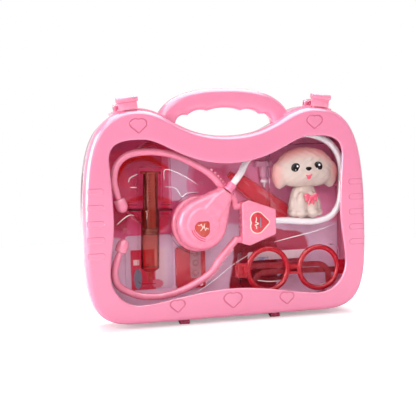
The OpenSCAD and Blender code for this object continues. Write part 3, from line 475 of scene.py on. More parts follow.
def clear(name, tint, roughness=0.02, ior=1.08, passing=1.0, wave=0.0003, rim=None, shine=0.3, marks=None):
    """Clear or tinted plastic: it bends light where seen, turns to the rim colour where its skin turns away and
    under its marks, and lets the lamps through to what lies behind it. Mostly the rim colour is a deeper tint
    where the plastic is thick; on the scope it is a paler painted sheen and its marks are painted reflections,
    and the dish's marks lay a painted glow."""
    w = surface(name)
    dust = w.noise(90.0, 5.0, 0.7)
    colour = w.mix(w.ramp(dust, 0.5, 0.85, 0.0, 0.5), tint, tuple(0.92 * c for c in tint[:3]) + (1.0,))
    if rim:
        facing = w.node("ShaderNodeLayerWeight", {"Blend": 0.5}).outputs["Facing"]
        colour = w.mix(w.ramp(facing, 0.25, 0.9), colour, rim)
    if marks:
        w.split()
        colour = w.mix(marks(w), colour, rim)
    drawn = w.bump(w.noise(35.0, 2.0), wave)
    w.feed(w.shader, {"Base Color": colour, "Transmission Weight": passing, "IOR": ior, "Coat Weight": shine,
                      "Coat Roughness": 0.04, "Normal": drawn, "Coat Normal": drawn,
                      "Roughness": w.ramp(dust, 0.45, 0.8, roughness, roughness + 0.05)})
    path = w.node("ShaderNodeLightPath").outputs
    through = w.times(w.most(path["Is Shadow Ray"], path["Is Diffuse Ray"]), 0.3 + 0.7 * passing)
    gap = w.node("ShaderNodeBsdfTransparent", {"Color": tint}).outputs[0]
    both = w.node("ShaderNodeMixShader", {0: through, 1: w.shader.outputs[0], 2: gap})
    w.feed(w.out, {"Surface": both.outputs[0]})
    return w


# Camera and lamps

def placed(name, data, columns):
    """Camera or lamp linked to the scene at the columns of its matrix: right, up, back and place."""
    obj = bpy.data.objects.new(name, data)
    matrix = np.identity(4)
    matrix[:3, :4] = np.column_stack(columns)
    obj.matrix_world = Matrix(matrix.tolist())
    bpy.context.scene.collection.objects.link(obj)
    return obj


def photo_camera():
    """Camera on the photograph's line of sight: left of the lid, a little above it and rolled slightly."""
    (ca, sa), (ce, se), (cr, sr) = (cos_sin(a) for a in (-16.962, 4.057, -1.462))
    back = np.array([sa * ce, -ca * ce, se])
    level = unit(np.cross([0.0, 0.0, 1.0], back))
    up = np.cross(back, level)
    data = bpy.data.cameras.new("camera")
    data.lens, data.sensor_width = 86.54, 36.0
    data.clip_start, data.clip_end = 0.05, 20.0
    place = np.array([-278.69, -866.80, 166.15]) * MM
    columns = (cr * level + sr * up, -sr * level + cr * up, back, place)
    bpy.context.scene.camera = placed("camera", data, columns)


def softbox(name, place, width, height, watts, glint=False, aim=0.1):
    """Soft lamp of a width and a height, facing a height over the middle. A glint shows in shiny skins only."""
    data = bpy.data.lights.new(name, "AREA")
    data.shape, data.energy, data.size, data.size_y = "RECTANGLE", watts, width, height
    back = unit(np.array(place, float) - [0, 0, aim])
    side = unit(np.cross([0.0, 0.0, 1.0], back))
    placed(name, data, (side, np.cross(back, side), back, place)).visible_diffuse = not glint


def room():
    """White room for what is seen, half as bright for what it lights, dimmer in mirrors ahead and behind."""
    world = bpy.data.worlds.new("room")
    world.use_nodes = True
    bpy.context.scene.world = world
    w = Wiring(world.node_tree)
    path = w.node("ShaderNodeLightPath").outputs
    direct = w.most(path["Is Camera Ray"], path["Is Transmission Ray"])
    way = w.node("ShaderNodeTexCoord").outputs["Generated"]
    ahead, behind = (w.vector("DOT_PRODUCT", way, v, out="Value")
                     for v in ((0.29, -0.95, -0.07), (-0.1, 0.97, 0.2)))
    bounced = w.math("MINIMUM", path["Glossy Depth"], 1.0)
    level = w.math("MULTIPLY_ADD", w.most(direct, path["Is Glossy Ray"]), 0.5, 0.5)
    level = w.math("MULTIPLY_ADD", w.times(w.ramp(ahead, 0.3, 0.95), bounced), -0.6, level)
    level = w.math("MULTIPLY_ADD", w.times(w.ramp(behind, 0.25, 0.85), w.less(1.0, direct)), -0.42, level)
    sky = w.node("ShaderNodeBackground", {"Color": (1, 1, 1, 1), "Strength": level})
    w.node("ShaderNodeOutputWorld", {"Surface": sky.outputs[0]})


def floor():
    """Pale floor that keeps the shadow and turns white for the camera farther out."""
    bpy.ops.mesh.primitive_grid_add(x_subdivisions=2, y_subdivisions=2, size=16)
    obj = bpy.context.object
    obj.name = "floor"
    w = surface("floor paper")
    paper = w.mix(w.noise(900.0, 3.0), (0.86, 0.86, 0.86, 1), (0.9, 0.9, 0.9, 1))
    w.feed(w.shader, {"Roughness": 0.9, "Specular IOR Level": 0.1, "Base Color": paper})
    seen = w.node("ShaderNodeLightPath").outputs["Is Camera Ray"]
    glow = w.node("ShaderNodeEmission", {"Strength": w.times(seen, 0.3)}).outputs[0]
    near = w.node("ShaderNodeAddShader", {0: w.shader.outputs[0], 1: glow}).outputs[0]
    far = w.times(w.ramp(w.vector("LENGTH", w.where, out="Value"), 0.3, 0.75), seen)
    white = w.node("ShaderNodeEmission", {"Strength": 1.0}).outputs[0]
    w.feed(w.out, {"Surface": w.node("ShaderNodeMixShader", {0: far, 1: near, 2: white}).outputs[0]})
    obj.data.materials.append(w.material)


photo_camera()
bpy.context.scene.view_settings.view_transform = "Standard"
room()
softbox("left lamp", (-1.8, -0.45, 0.5), 0.8, 1.0, 22)
softbox("front lamp", (-0.5, -2.3, 1.1), 1.2, 1.2, 20)
softbox("top lamp", (0.1, 0.5, 1.5), 1.6, 1.3, 31)
softbox("side glint", (-1.82, -0.56, 0.5), 2.2, 1.8, 95, glint=True)
softbox("top glint", (0.0, -0.75, 1.7), 2.4, 1.3, 56, glint=True, aim=0.15)
floor()

PINK, PINK_EDGE = srgb(236, 134, 168), srgb(255, 176, 202)


# White tube of the stethoscope

# Chest piece: its middle, the way of its neck, the neck's root, and the place and the length of the collar
CHEST = np.array([-24.5, 0.0, 84.5])
NECK_TURN = np.radians(50)
NECK = np.array([np.cos(NECK_TURN), 0.0, np.sin(NECK_TURN)])
NECK_ROOT = CHEST + [0, -15.5, 0]
COLLAR_AT, COLLAR_L = 37.9, 8.0


def white_tube():
    """Circle carried along the tube's route: straight out of the collar, behind the bezel, round the puppy
    and into the yoke."""
    start = NECK_ROOT + (COLLAR_AT + COLLAR_L) * NECK
    route = np.array([[21.4, 139.5], [33, 150], [46, 158], [62, 162.5], [78, 163], [91.5, 160], [103, 154],
                      [111, 144], [114.5, 132], [114.6, 117.8], [113.5, 102], [109, 91.5], [101, 84.5],
                      [86, 81.3], [70, 82.4], [57.5, YOKE_Z], [51.5, YOKE_Z], [45.5, YOKE_Z]])
    line = spline(np.concatenate([[start, start + 3 * NECK, start + 6 * NECK, [14.6, -11.45, 130]],
                                  at_depth(route, -7.4)]), 10)
    plastic = moulded("white tube", srgb(240, 234, 236), drift=0.03, smooth=0.2, rough=0.32, soft=0.25)
    obj = piece("stethoscope_hose", [tube(line, 3.1, 24)], plastic, "stethoscope_tube", slot="white_tube")
    route = (line + [0, 0, STAND]) * MM
    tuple(route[0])


white_tube()


# Case

def case_outline():
    """Outline of the case: two humps over a dip, straight sides and wide lower corners."""
    low = np.linspace(HALF_W - CORNER_RUN, 0, 3 * FINE + 1)
    half = chain([0, DIP_Z], (8, [DIP_RUN, DIP_Z], [HUMP_X - HUMP_IN, CASE_H], [HUMP_X, CASE_H]),
                 (12, [HUMP_X + HUMP_OUT, CASE_H], [HALF_W, SHOULDER_Z], [HALF_W, SIDE_Z]),
                 (8, [HALF_W, CORNER_Z], [HALF_W - CORNER_X, 0], [HALF_W - CORNER_RUN, 0]))
    return mirrored(np.concatenate([half, np.column_stack((low, np.zeros_like(low)))]))


def window_outline():
    """Outline of the window, with one point for each point of the case outline."""
    x, top, low = 110.5, 161.0, 17.0
    waist = x - 4.4
    half = chain([0, top - 22.7], (8, [42, top - 22.7], [60, top], [78, top]),
                 (4, [103, top + 1], [x - 0.5, top - 5], [x - 2, top - 21]),
                 (4, [x - 3, 124], [waist, 108], [waist, 92]),
                 (4, [waist, 74], [x, 60], [x, 44]),
                 (8, [x, low + 15], [x - 10, low], [84, low]),
                 (3, [62, low + 0.5], [34, low + 9.3], [0, low + 9.3]))
    return mirrored(np.concatenate([half, [[0, low + 9.3]]]))


CASE = case_outline()
WINDOW = window_outline()


def case_rings(*pairs):
    """Outlines of the case, each at an inset and a depth."""
    return [at_depth(inset(CASE, d), y) for d, y in pairs]


def lid():
    """Rings from the parting line over the rounded edge, across the bezel to the rolled window edge, and back
    along the inside of the wall."""
    rings = [at_depth(CASE, PART - SEAM), *case_rings(*((0.5 + b, FRONT + c) for c, b in rolled(EDGE_R, 8)))]
    outer, inner = inset(CASE, 0.5 + EDGE_R), inset(WINDOW, -1.4)
    rings += [at_depth(outer + (inner - outer) * t, FRONT) for t in np.linspace(0, 1, 9)[1:]]
    rings += [at_depth(inset(WINDOW, -c), FRONT + b) for c, b in rolled(1.4, 5)[1:]]
    rings += [at_depth(WINDOW, PANE), *case_rings((EDGE_R + 0.5, PANE), (WALL, FRONT + EDGE_R + 0.5),
                                                  (WALL, PART - SEAM))]
    return loft(rings, closed=True)


def engraved_hearts(w):
    """Mask of the lines of the five hearts, from the least of their distances."""
    squat, width = 1.19, 0.9
    low, line = w.vector("MULTIPLY", w.where, (1, 1, squat)), None
    pairs = ((82, 173.4, 15), (51.5, 14.3, 13.5))
    hearts = [(s * x, z + STAND, size) for x, z, size in pairs for s in (-1, 1)]
    for x, z, size in hearts + [(0, 15.9 + STAND, 17)]:
        inputs = {"Where": low, "Centre": (x * MM, 0, z * squat * MM), "Width": size * MM, "Plump": 0.1}
        d = w.math("ABSOLUTE", w.node("ShaderNodeGroup", inputs, node_tree=HEART).outputs[0])
        line = w.math("MINIMUM", line, d) if line else d
    return w.ramp(line, width * 0.35 * MM, width * MM, 1.0, 0.0)


def finger_grooves(w):
    """Masks of the hollow and of the rim of the grooves on each side, round-ended and one pitch apart."""
    pitch, count, x0, half = 13.9, 5, 117, 2.7
    first = 90 - 2 * pitch + STAND
    across = w.most(w.less(x0 * MM, w.math("ABSOLUTE", w.x)), 0.0)
    along = w.less(w.math("WRAP", w.z, (first + pitch / 2) * MM, (first - pitch / 2) * MM), first * MM)
    middle = first + pitch * (count - 1) / 2
    beyond = w.less(w.off(w.z, middle * MM), pitch * count / 2 * MM)
    d = w.most(w.length(across, along), w.add(beyond, half * MM))
    return w.ramp(d, (half - 0.7) * MM, (half + 0.1) * MM, 1.0, 0.0), w.line(d, half - 0.3, 0.0, 0.6)


def lid_plastic():
    """Case plastic with the engraved hearts and the finger grooves in its face, their lines and groove rims
    darkened as painted shade.
    """
    w = moulded("lid plastic", PINK, PINK_EDGE, coat=0.9)
    w.split()
    lines, (hollow, rim) = engraved_hearts(w), finger_grooves(w)
    face = w.ramp(w.y, -23.6 * MM, -22.8 * MM, 1.0, 0.0)
    # The engraved lines and the rims of the grooves are painted darker: painted shade in the recesses.
    dark = w.times(w.most(lines, w.times(rim, 0.35)), face)
    w.paint(w.times(dark, 0.62), srgb(206, 50, 100))
    depth = w.times(w.add(w.times(lines, 0.5), w.times(hollow, 0.7)), face)
    w.feed(w.shader, {"Normal": w.bump(depth, MM, w.normal, invert=True)})
    return w


def knuckles():
    """Hinge barrels, their pins and their webs under the lid."""
    parts = []
    for x in (-HINGE_X, HINGE_X):
        web = rounded([[x - 2.2, 1], [x + 2.2, 1], [x + 2.2, HINGE_Z], [x - 2.2, HINGE_Z]], 0.1, 2)
        parts += [drum((x, PART, HINGE_Z), 1.9, 2.2, 0.3, 24), drum((x, PART, HINGE_Z), 1, 4.3),
                  slab(web, PART - 1.9, PART - SEAM, 0.2)]
    return parts


HUMP = bezier(1000, [HUMP_X, CASE_H], [HUMP_X + HUMP_OUT, CASE_H], [HALF_W, SHOULDER_Z], [HALF_W, SIDE_Z])
LATCH_AT = HUMP[55]
LATCH_TILT = -np.degrees(np.arctan2(*(HUMP[66] - HUMP[44])[::-1]))


def latch_frame(part, side):
    """A part drawn about a latch's place on its hump, carried there and to its side of the case."""
    points, faces = part
    points = points @ about_y(LATCH_TILT).T + [LATCH_AT[0], 0, LATCH_AT[1]]
    return points * [side, 1, 1], faces


def ribs():
    """Ribs on top of the lid that the latches catch."""
    return [latch_frame(block(-6, 6, PART - 2.4, PART - 0.4, -1, 3, 0.3), side) for side in (-1, 1)]


def handle():
    """Section of the handle on rays from its middle: a rounded square between the circles of the finger
    hollows and the outer curve, a powered ellipse."""
    middle = np.array([0, DIP_Z - 1])
    reach, rise, power, hollows = 65, 43.3, 2.6, 25.9
    a = np.radians(np.linspace(-84, 84, 201))
    s, c = np.abs(np.sin(a)), np.cos(a)
    outer = ((s / reach) ** power + (c / rise) ** power) ** (-1 / power)
    top = middle[1] + hollows
    inner = np.zeros_like(a)
    for x, z, r in ((0, top - 50.5, 50.5), (21.9, top - 20.1, 18.5), (37, top - 14.4, 8.6)):
        o = np.array([x, z]) - middle
        along = o[0] * s + o[1] * c
        q = r * r - o @ o + along ** 2
        inner = np.maximum(inner, np.where(q < 0, 0, along + np.sqrt(np.maximum(q, 0))))
    k = np.radians(np.arange(32) * 11.25)
    squareness, mid_y, half_y = 0.6, -6.7, 7
    squared_cos, squared_sin = (np.sign(v) * np.abs(v) ** squareness for v in (np.cos(k), np.sin(k)))
    r = (inner + outer)[:, None] / 2 + (outer - inner)[:, None] / 2 * squared_cos
    x = middle[0] + r * np.sin(a)[:, None]
    z = middle[1] + r * np.cos(a)[:, None]
    return loft(np.stack((x, np.broadcast_to(mid_y + half_y * squared_sin, x.shape), z), axis=2))


def hinge_ears():
    """Eyes of the hinge on their gussets under the shell."""
    parts = []
    for ear in (x + gap for x in (-HINGE_X, HINGE_X) for gap in (-3.4, 3.4)):
        parts.append(revolve([[1.06, -0.9], [1.7, -0.9], [1.9, -0.7], [1.9, 0.7], [1.7, 0.9], [1.06, 0.9]],
                             (ear, PART, HINGE_Z), (1, 0, 0), 28))
        gusset = np.array([[0.3, 2.6], [0.3, -STAND], [1.9, -STAND], [10, 0], [10, 2.6]]) + [PART, 0]
        parts.append(loft([np.column_stack((np.full(5, x), gusset)) for x in (ear - 0.9, ear + 0.9)]))
    return parts


def shell():
    """Back shell from its flat back over the rounded edge to the rim and its lip, then inside, with its
    handle, rails, latch ears, feet and tray posts."""
    sides = [(DRAFT + c, BACK - b) for c, b in rolled(BACK_R, 8)]
    cup = case_rings(*sides, (0, PART + 0.6), (0.4, PART + SEAM), (2.3, PART + SEAM), (2.3, PART - 2.05),
                     (3.4, PART - 2.05), (DRAFT + WALL, FLOOR - 3), (DRAFT + WALL + 0.9, FLOOR - 0.9),
                     (DRAFT + BACK_R, FLOOR))
    parts = [loft(cup), handle()]
    outer, inner = inset(CASE, -1.7), inset(CASE, 2.6)
    for first in (5 * FINE, len(CASE) - 10 * FINE):
        ids = np.arange(first, first + 5 * FINE + 1)
        rail = np.concatenate([outer[ids], inner[ids[::-1]]])
        parts.append(loft([at_depth(rail, y) for y in (PART + SEAM, 4.0)]))
    for side in (-1, 1):
        for x in (-7.8, 7.8):
            parts += [latch_frame(drum((x, PIVOT_Y, PIVOT_Z), 2.6, 1.5, 0.4, 32), side),
                      latch_frame(block(x - 1.5, x + 1.5, -3.6, 1.6, -2.6, PIVOT_Z, 0.25), side)]
        x = side * HINGE_X
        foot = rounded([[x - 14, 5], [x + 14, 5], [x + 11, -STAND], [x - 11, -STAND]], 1.0, 4)
        parts.append(slab(foot, 12, 16, 0.5))
    spots = inset(CASE, 12)[np.array([12, 17, 26, 0, 36, 45, 50]) * FINE]
    return parts + [revolve([[0, 0], [2.6, 0], [2.6, 26.2], [0, 26.2]], (x, TRAY + 0.8, z), (0, 1, 0), 24)
                    for x, z in spots]


def latch(side):
    """Latch: a finger bar over a narrower hooked plate, carried by a flat top to its barrel and pegs."""
    hook, top, under = -18.5, PIVOT_Z + 2.6, PIVOT_Z + 0.3
    bar = rounded([[hook + 3, 12], [hook - 1.6, 12], [hook - 1.6, 7.6], [hook + 0.4, 7], [hook + 3, 8.2]],
                  [1.0, 1.5, 0.5, 0.3, 0.3], 6)
    plate = rounded([[PIVOT_Y - 3.6, top], [hook + 2.8, top], [hook + 2, 9], [hook + 0.2, 9], [hook, 7.5],
                     [hook, 0.6], [hook + 1.8, 0.6], [hook + 1.8, under], [PIVOT_Y - 3.6, under]], 0.3, 3)
    neck = np.array([[PIVOT_Y - 3.8, top], [PIVOT_Y - 3.8, under], [PIVOT_Y, under], [PIVOT_Y, top]])
    parts = []
    for outline, half, r in ((bar, 9.5, 0.5), (plate, 8.5, 0.25), (neck, 6, 0.1)):
        ends = ((half, r), (half - r * 0.3, r * 0.3), (half - r, 0))
        parts.append(loft([np.column_stack((np.full(len(outline), x), inset(outline, -cut)))
                           for x, cut in [(-x, cut) for x, cut in ends] + list(ends[::-1])]))
    pivot = (0, PIVOT_Y, PIVOT_Z)
    return [latch_frame(p, side) for p in parts + [drum(pivot, 2.6, 6, 0.3, 32), drum(pivot, 1, 9.3)]]


# The hinge knuckles and ears belong to the pink lid and shell; their dark red is painted shade under the case.
hinge_shade_plastic = moulded("hinge plastic in painted shade", srgb(158, 34, 74), srgb(190, 70, 104), smooth=0.2, rough=0.32)
shell_plastic = moulded("shell plastic", PINK, PINK_EDGE, coat=0.9)
latch_plastic = moulded("latch plastic", srgb(238, 126, 158), PINK_EDGE, coat=0.9)
piece("lid_skin", [lid(), *ribs()], lid_plastic(), "lid_frame", slot="case_plastic", body="lid")
piece("lid_knuckles", knuckles(), hinge_shade_plastic, body="lid")
piece("shell_hinge_ears", hinge_ears(), hinge_shade_plastic)
piece("shell_skin", shell(), shell_plastic, "back_shell", slot="case_plastic")
for name, side in (("left_latch", -1), ("right_latch", 1)):
    piece(name + "_skin", latch(side), latch_plastic, name, slot="case_plastic", body=name)
use(clear("window sheet", srgb(254, 253, 254), 0.01, ior=1.02, wave=0.0001, shine=0.02), "clear_sheet",
    "window_pane")
softened("tray_skin", "blister_tray", clear("tray sheet", srgb(254, 252, 253), 0.02, ior=1.05, shine=0.12),
         "tray_sheet", 0.5)


# Stethoscope

BELL_R, BELL_END, BELL_SIDE, BELL_BACK, BELL_H, BELL_STEP = 23.5, 37.0, 6.6, -11.0, 7.9, 1.1
BELL_TURN = np.arctan2(BELL_SIDE, BELL_END) + np.arccos(BELL_R / np.hypot(BELL_END, BELL_SIDE))


def bell_y(p):
    """Depth of the bell's front at places from its middle: a rolled edge, a low ring, and a flat middle that
    runs on as a ridge along the neck."""
    u, v = p @ NECK[[0, 2]], np.abs(p @ np.array([-NECK[2], NECK[0]]))
    r = np.hypot(u, v)
    side = BELL_R - u * np.cos(BELL_TURN) - v * np.sin(BELL_TURN)
    edge = np.where(np.arctan2(v, u) > BELL_TURN, BELL_R - r, np.minimum(side, 4 * (BELL_END - u)))
    roll, power, middle_r, ridge_half = 6, 2.4, 15.8, 7.4
    rise = (1 - (1 - np.clip(edge / roll, 0, 1)) ** power) ** (1 / power)
    step = np.clip((middle_r - r) / 2.4, 0, 1)
    ridge = np.clip((ridge_half + 0.1 * (36 - u) - v) / 2.6, 0, 1) * np.clip(u / 6, 0, 1)
    raised = np.maximum(step ** 2 * (3 - 2 * step), ridge ** 2 * (3 - 2 * ridge))
    ring = 0.3 * np.sin(np.pi * np.clip((r - 15) / 8.6, 0, 1))
    return BELL_BACK - rise * (BELL_H + BELL_STEP * raised + ring)


def bell():
    """Bell: rings that draw in from the outline, a circle whose straight tangents run to the neck's flat end,
    over a round foot."""
    a = np.arange(240) * 2 * np.pi / 240 - np.pi
    off = np.clip(np.abs(a), 0, BELL_TURN)
    end = np.where(np.abs(a) < 1, BELL_END / np.cos(np.clip(a, -1, 1)), 99)
    reach = np.minimum(BELL_R / np.cos(off - BELL_TURN), end)
    t = a + NECK_TURN
    ray = np.column_stack((np.cos(t), np.sin(t))) * reach[:, None]
    rings = [at_depth(ray, BELL_BACK)]
    for s in np.sin(np.linspace(0.5, 0, 42) * np.pi)[:-1]:
        rings.append(np.column_stack((ray[:, 0] * s, bell_y(ray * s), ray[:, 1] * s)))
    foot = revolve([[0, 0], [22.2, 0], [22.2, 5], [0, 5]], CHEST + [0, -6.4, 0], (0, -1, 0), 96)
    return [loft(np.array(rings) + CHEST), foot]


def chest_base():
    """Round foot of the chest piece with a rolled edge and a step."""
    a, outer, rim_r = np.linspace(0, np.pi, 13), 25.5, 2.2
    roll = np.column_stack((outer - rim_r + rim_r * np.sin(a), 4.4 - 3.1 * np.cos(a)))
    profile = np.concatenate([[[0, 0], [23, 0]], roll, [[22.4, 7.4], [0, 7.4]]])
    return [revolve(profile, CHEST + [0, 1, 0], (0, -1, 0), 128)]


def collar():
    """Collar between the bell's neck and the tube: a flange, a straight sleeve and a rounded lip."""
    profile = [[0, 0], [4.3, 0], [4.5, 0.3], [4.5, 2.1], [4.3, 2.4], [4.05, 2.6], [4.2, COLLAR_L - 0.8],
               [3.9, COLLAR_L - 0.1], [3.1, COLLAR_L], [0, COLLAR_L]]
    return [revolve(profile, NECK_ROOT + COLLAR_AT * NECK, NECK, 48)]


def arm_line(route, seat):
    """Smooth line of an ear arm from its tip to the yoke, sinking to the tray over its first points."""
    r = np.array(route, float)
    y, tip_y = -7.5, -9.7
    depth = tip_y + (y - tip_y) * np.clip((np.arange(len(r)) - 1) / 3, 0, 1)
    points = np.column_stack((r[:, 0], depth, r[:, 1]))
    return spline(np.concatenate([points, [[x, y, seat] for x in (YOKE_X - 4, YOKE_X - 2, YOKE_X)]]), 9)


def comb(line, first, last, count, side):
    """Teeth along one side of an arm: a wave of flat-topped steps square to its line, through its depth."""
    s = np.linspace(first, last, count * 16 + 1)
    at = np.column_stack([np.interp(s, np.arange(len(line)), line[:, k]) for k in (0, 2)])
    run = unit(np.gradient(at, axis=0))
    out = np.column_stack((run[:, 1], -run[:, 0])) * side
    phase = (np.arange(len(s)) % 16) / 16
    rise = np.clip(np.minimum(phase / 0.14, (0.62 - phase) / 0.14), 0, 1)
    tooth, root, inner = 1.6, 2.9, 1.4
    outline = np.concatenate([at + out * (root + tooth * rise)[:, None], (at + out * inner)[::-1]])
    return loft([at_depth(outline, y) for y in (-9.1, -5.9)])


def arm(line, teeth, side):
    """Tube of the arm, thinner at its tip, with its comb."""
    radius = 3.2 * np.clip(0.72 + 0.28 * np.arange(len(line)) / 12, 0, 1)
    return [tube(line, radius, 28)] + [comb(line, a, b, n, side) for a, b, n in teeth]


def ear_tip(line):
    """Soft ear tip: a collar and a bulb turned about the start of its arm."""
    back = -unit(line[1] - line[0])
    a = np.linspace(0, np.pi / 2, 12)
    profile = np.concatenate([[[0, 0], [3.9, 0], [4.6, 0.35], [5.1, 1.4]],
                              np.column_stack((5.4 * np.cos(a) ** 0.9, 5.6 + 7 * np.sin(a)))])
    profile[-1, 0] = 0
    return [revolve(profile, line[0] + 0.1 * back, back, 48)]


YOKE = rounded([[YOKE_X, YOKE_Z + 18.5], [YOKE_X + 7, YOKE_Z + 20.7], [YOKE_X + 32.5, YOKE_Z + 11.5],
                [YOKE_X + 32.5, YOKE_Z - 11.5], [YOKE_X + 7, YOKE_Z - 20.7], [YOKE_X, YOKE_Z - 18.5]], 2.4, 8)
UPPER = arm_line([[-98.5, 110], [-100.5, 116], [-102.4, 125], [-100, 138], [-92, 146.5], [-80, 150],
                  [-63, 150], [-45.5, 146.3], [-28, 138.1], [-14, 129], [-5, 119], [1, 111],
                  [8, 105.4]], 98.9)
LOWER = arm_line([[-99, 63], [-101.5, 57], [-104, 47.3], [-103, 37], [-96, 29.5], [-81, 23], [-63.3, 21.5],
                  [-45.5, 24.6], [-28, 32], [-15, 40.5], [-6.5, 51.5], [1, 60], [7, 66]], 68.3)
chest_plastic = moulded("stethoscope plastic", srgb(250, 142, 170), srgb(255, 190, 206), smooth=0.22,
                        rough=0.32, coat=0.2)
collar_plastic = moulded("collar plastic", srgb(246, 128, 164), smooth=0.16, rough=0.28, coat=0.2)
piece("chest_bell_skin", bell(), chest_plastic, "chest_piece_bell", slot="light_pink")
piece("chest_base_skin", chest_base(), chest_plastic, "chest_piece_base", slot="light_pink")
piece("collar_skin", collar(), collar_plastic, "tube_collar", slot="deep_pink")
upper_teeth, lower_teeth = [(79.5, 96, 7), (100.2, 107.1, 3)], [(72, 103.5, 11)]
for name, parts, node in (("upper_arm", arm(UPPER, upper_teeth, -1), "upper_ear_arm"),
                          ("lower_arm", arm(LOWER, lower_teeth, 1), "lower_ear_arm"),
                          ("upper_tip", ear_tip(UPPER), "upper_ear_tip"),
                          ("lower_tip", ear_tip(LOWER), "lower_ear_tip"),
                          ("yoke_front", [slab(YOKE, YOKE_FACE, -10.34, 1.5, 6, 0.2)], "yoke_front"),
                          ("yoke_back", [slab(YOKE, -10.26, -4.3, 0.2, 6, 1.2)], "yoke_back")):
    piece(name + "_skin", parts, chest_plastic, node, slot="light_pink")
use(moulded("diaphragm film", srgb(244, 240, 240)), "white_plastic", "chest_piece_diaphragm")


def heart_outline(width, n=40):
    """Plump heart with its point down: lobe arcs that meet in a cleft, straight flanks, a rounded point."""
    r, s = PLUMP * width, (1 - 2 * PLUMP) * width / HEART_W
    big = LOBE_R * s + r
    a = np.linspace(np.pi - np.arccos(0.25 * s / big), -np.pi / 4, n)
    low = np.linspace(-np.pi / 4, -np.pi / 2, 8)
    lobe = np.column_stack((0.25 * s + big * np.cos(a), 0.75 * s + big * np.sin(a)))
    right = np.concatenate([lobe, r * np.column_stack((np.cos(low), np.sin(low)))]) - [0, HEART_MID * s]
    return mirrored(right)


def heart_label(part, centre, degrees, width, y, rim, colour, border):
    """Thin printed heart on the face at depth y, turned clockwise, with a border along its edge."""
    w = moulded(part + " label print", colour, smooth=0.2, rough=0.32)
    spot = (centre[0] * MM, 0, (centre[1] + STAND) * MM)
    heart = w.node("ShaderNodeGroup", {"Where": w.turn(w.where, -degrees, spot), "Centre": spot,
                                       "Width": width * MM}, node_tree=HEART)
    w.paint(w.ramp(heart.outputs[0], -(rim + 0.15) * MM, -(rim - 0.15) * MM), border)
    c, s = cos_sin(degrees)
    outline = heart_outline(width) @ np.array([[c, -s], [s, c]]) + centre
    node = part + "_heart_label"
    piece(part + "_label_skin", [slab(outline, y - LABEL, y, 0.12, 2)], w, node, slot="red_label")


def ribbon(points, width, y, thick=0.12):
    """Printed line: a strip of a width along a path in the lid's plane, at a depth or one for each point."""
    p = np.array(points, float)
    run = unit(np.gradient(p, axis=0))
    side = np.column_stack((-run[:, 1], run[:, 0])) * width / 2
    corners = ((p + side, 0), (p - side, 0), (p - side, thick), (p + side, thick))
    edges = [np.column_stack((q[:, 0], np.broadcast_to(y, len(p)) - d, q[:, 1])) for q, d in corners]
    return loft(np.stack(edges, axis=1))


def dense(points, n=6):
    """Corners of a line with n steps put between each two."""
    p = np.array(points, float)
    t = np.arange(n)[None, :, None] / n
    return np.concatenate([(p[:-1, None] * (1 - t) + p[1:, None] * t).reshape(-1, 2), p[-1:]])


CHEST_HEART, YOKE_HEART = np.array([-25.0, 81.8]), np.array([29.5, YOKE_Z])
BELL_FACE = BELL_BACK - BELL_H - BELL_STEP
cream = srgb(246, 226, 214)
heart_label("chest", CHEST_HEART, 225, 15, BELL_FACE, 0.5, srgb(200, 66, 50), srgb(176, 44, 48))
heart_label("yoke", YOKE_HEART, -90, 20.5, YOKE_FACE, 0.9, srgb(212, 44, 62), cream)
print_cream = moulded("cream print", cream)
beat = [[-5.2, 2.6], [-3.4, 2.2], [-2.2, 3.4], [-0.6, -0.6], [0.4, 2.4], [1.6, -2.6], [2.6, -0.2],
        [4.6, -1.4]]
stroke = [[-3.0, -2.6], [-0.4, 0.2], [1.2, 3.6]]
tall_beat = [[-3.4, -5.6], [-3.4, -3.4], [-5.0, -2.2], [-1.2, -0.9], [-4.4, 0.6], [-3.4, 1.8], [-3.4, 5.2]]
chest_y, yoke_y = BELL_FACE - LABEL + SUNK, YOKE_FACE - LABEL + SUNK
piece("chest_label_pulse", [ribbon(dense(CHEST_HEART + beat), 0.55, chest_y),
                            ribbon(dense(CHEST_HEART + stroke), 0.5, chest_y + 0.01)], print_cream)
piece("yoke_label_pulse", [ribbon(dense(YOKE_HEART + tall_beat), 0.8, yoke_y)], print_cream)
piece("yoke_label_dash", [ribbon(dense(YOKE_HEART + [[0.6, -4.4], [0.6, 4.4]]), 0.7, yoke_y)],
      moulded("teal print", srgb(60, 150, 160)))
sweep = np.radians(np.linspace(196, 262, 24))
sweep = np.column_stack((np.cos(sweep), np.sin(sweep)))
arcs = [CHEST_HEART + [3.4, 2.6] + r * sweep for r in (11.2, 13.0, 14.8)]
arcs = [ribbon(c, 0.5 + 0.1 * k, bell_y(c - CHEST[[0, 2]]) + SUNK) for k, c in enumerate(arcs)]
piece("bell_print_arcs", arcs, moulded("red print", srgb(206, 30, 74)))


# Puppy

HEAD = np.array([78.6, -5.0, 131.8])
# A wide skull, the muzzle, and cheeks and hanging ears at both sides
HEAD_BLOBS = [(HEAD + [0, 0, 0.4], (28, 11.6, 18.4), 0), (HEAD + [-1, -7.3, -4.4], (12.5, 6.0, 8.6), 0)]
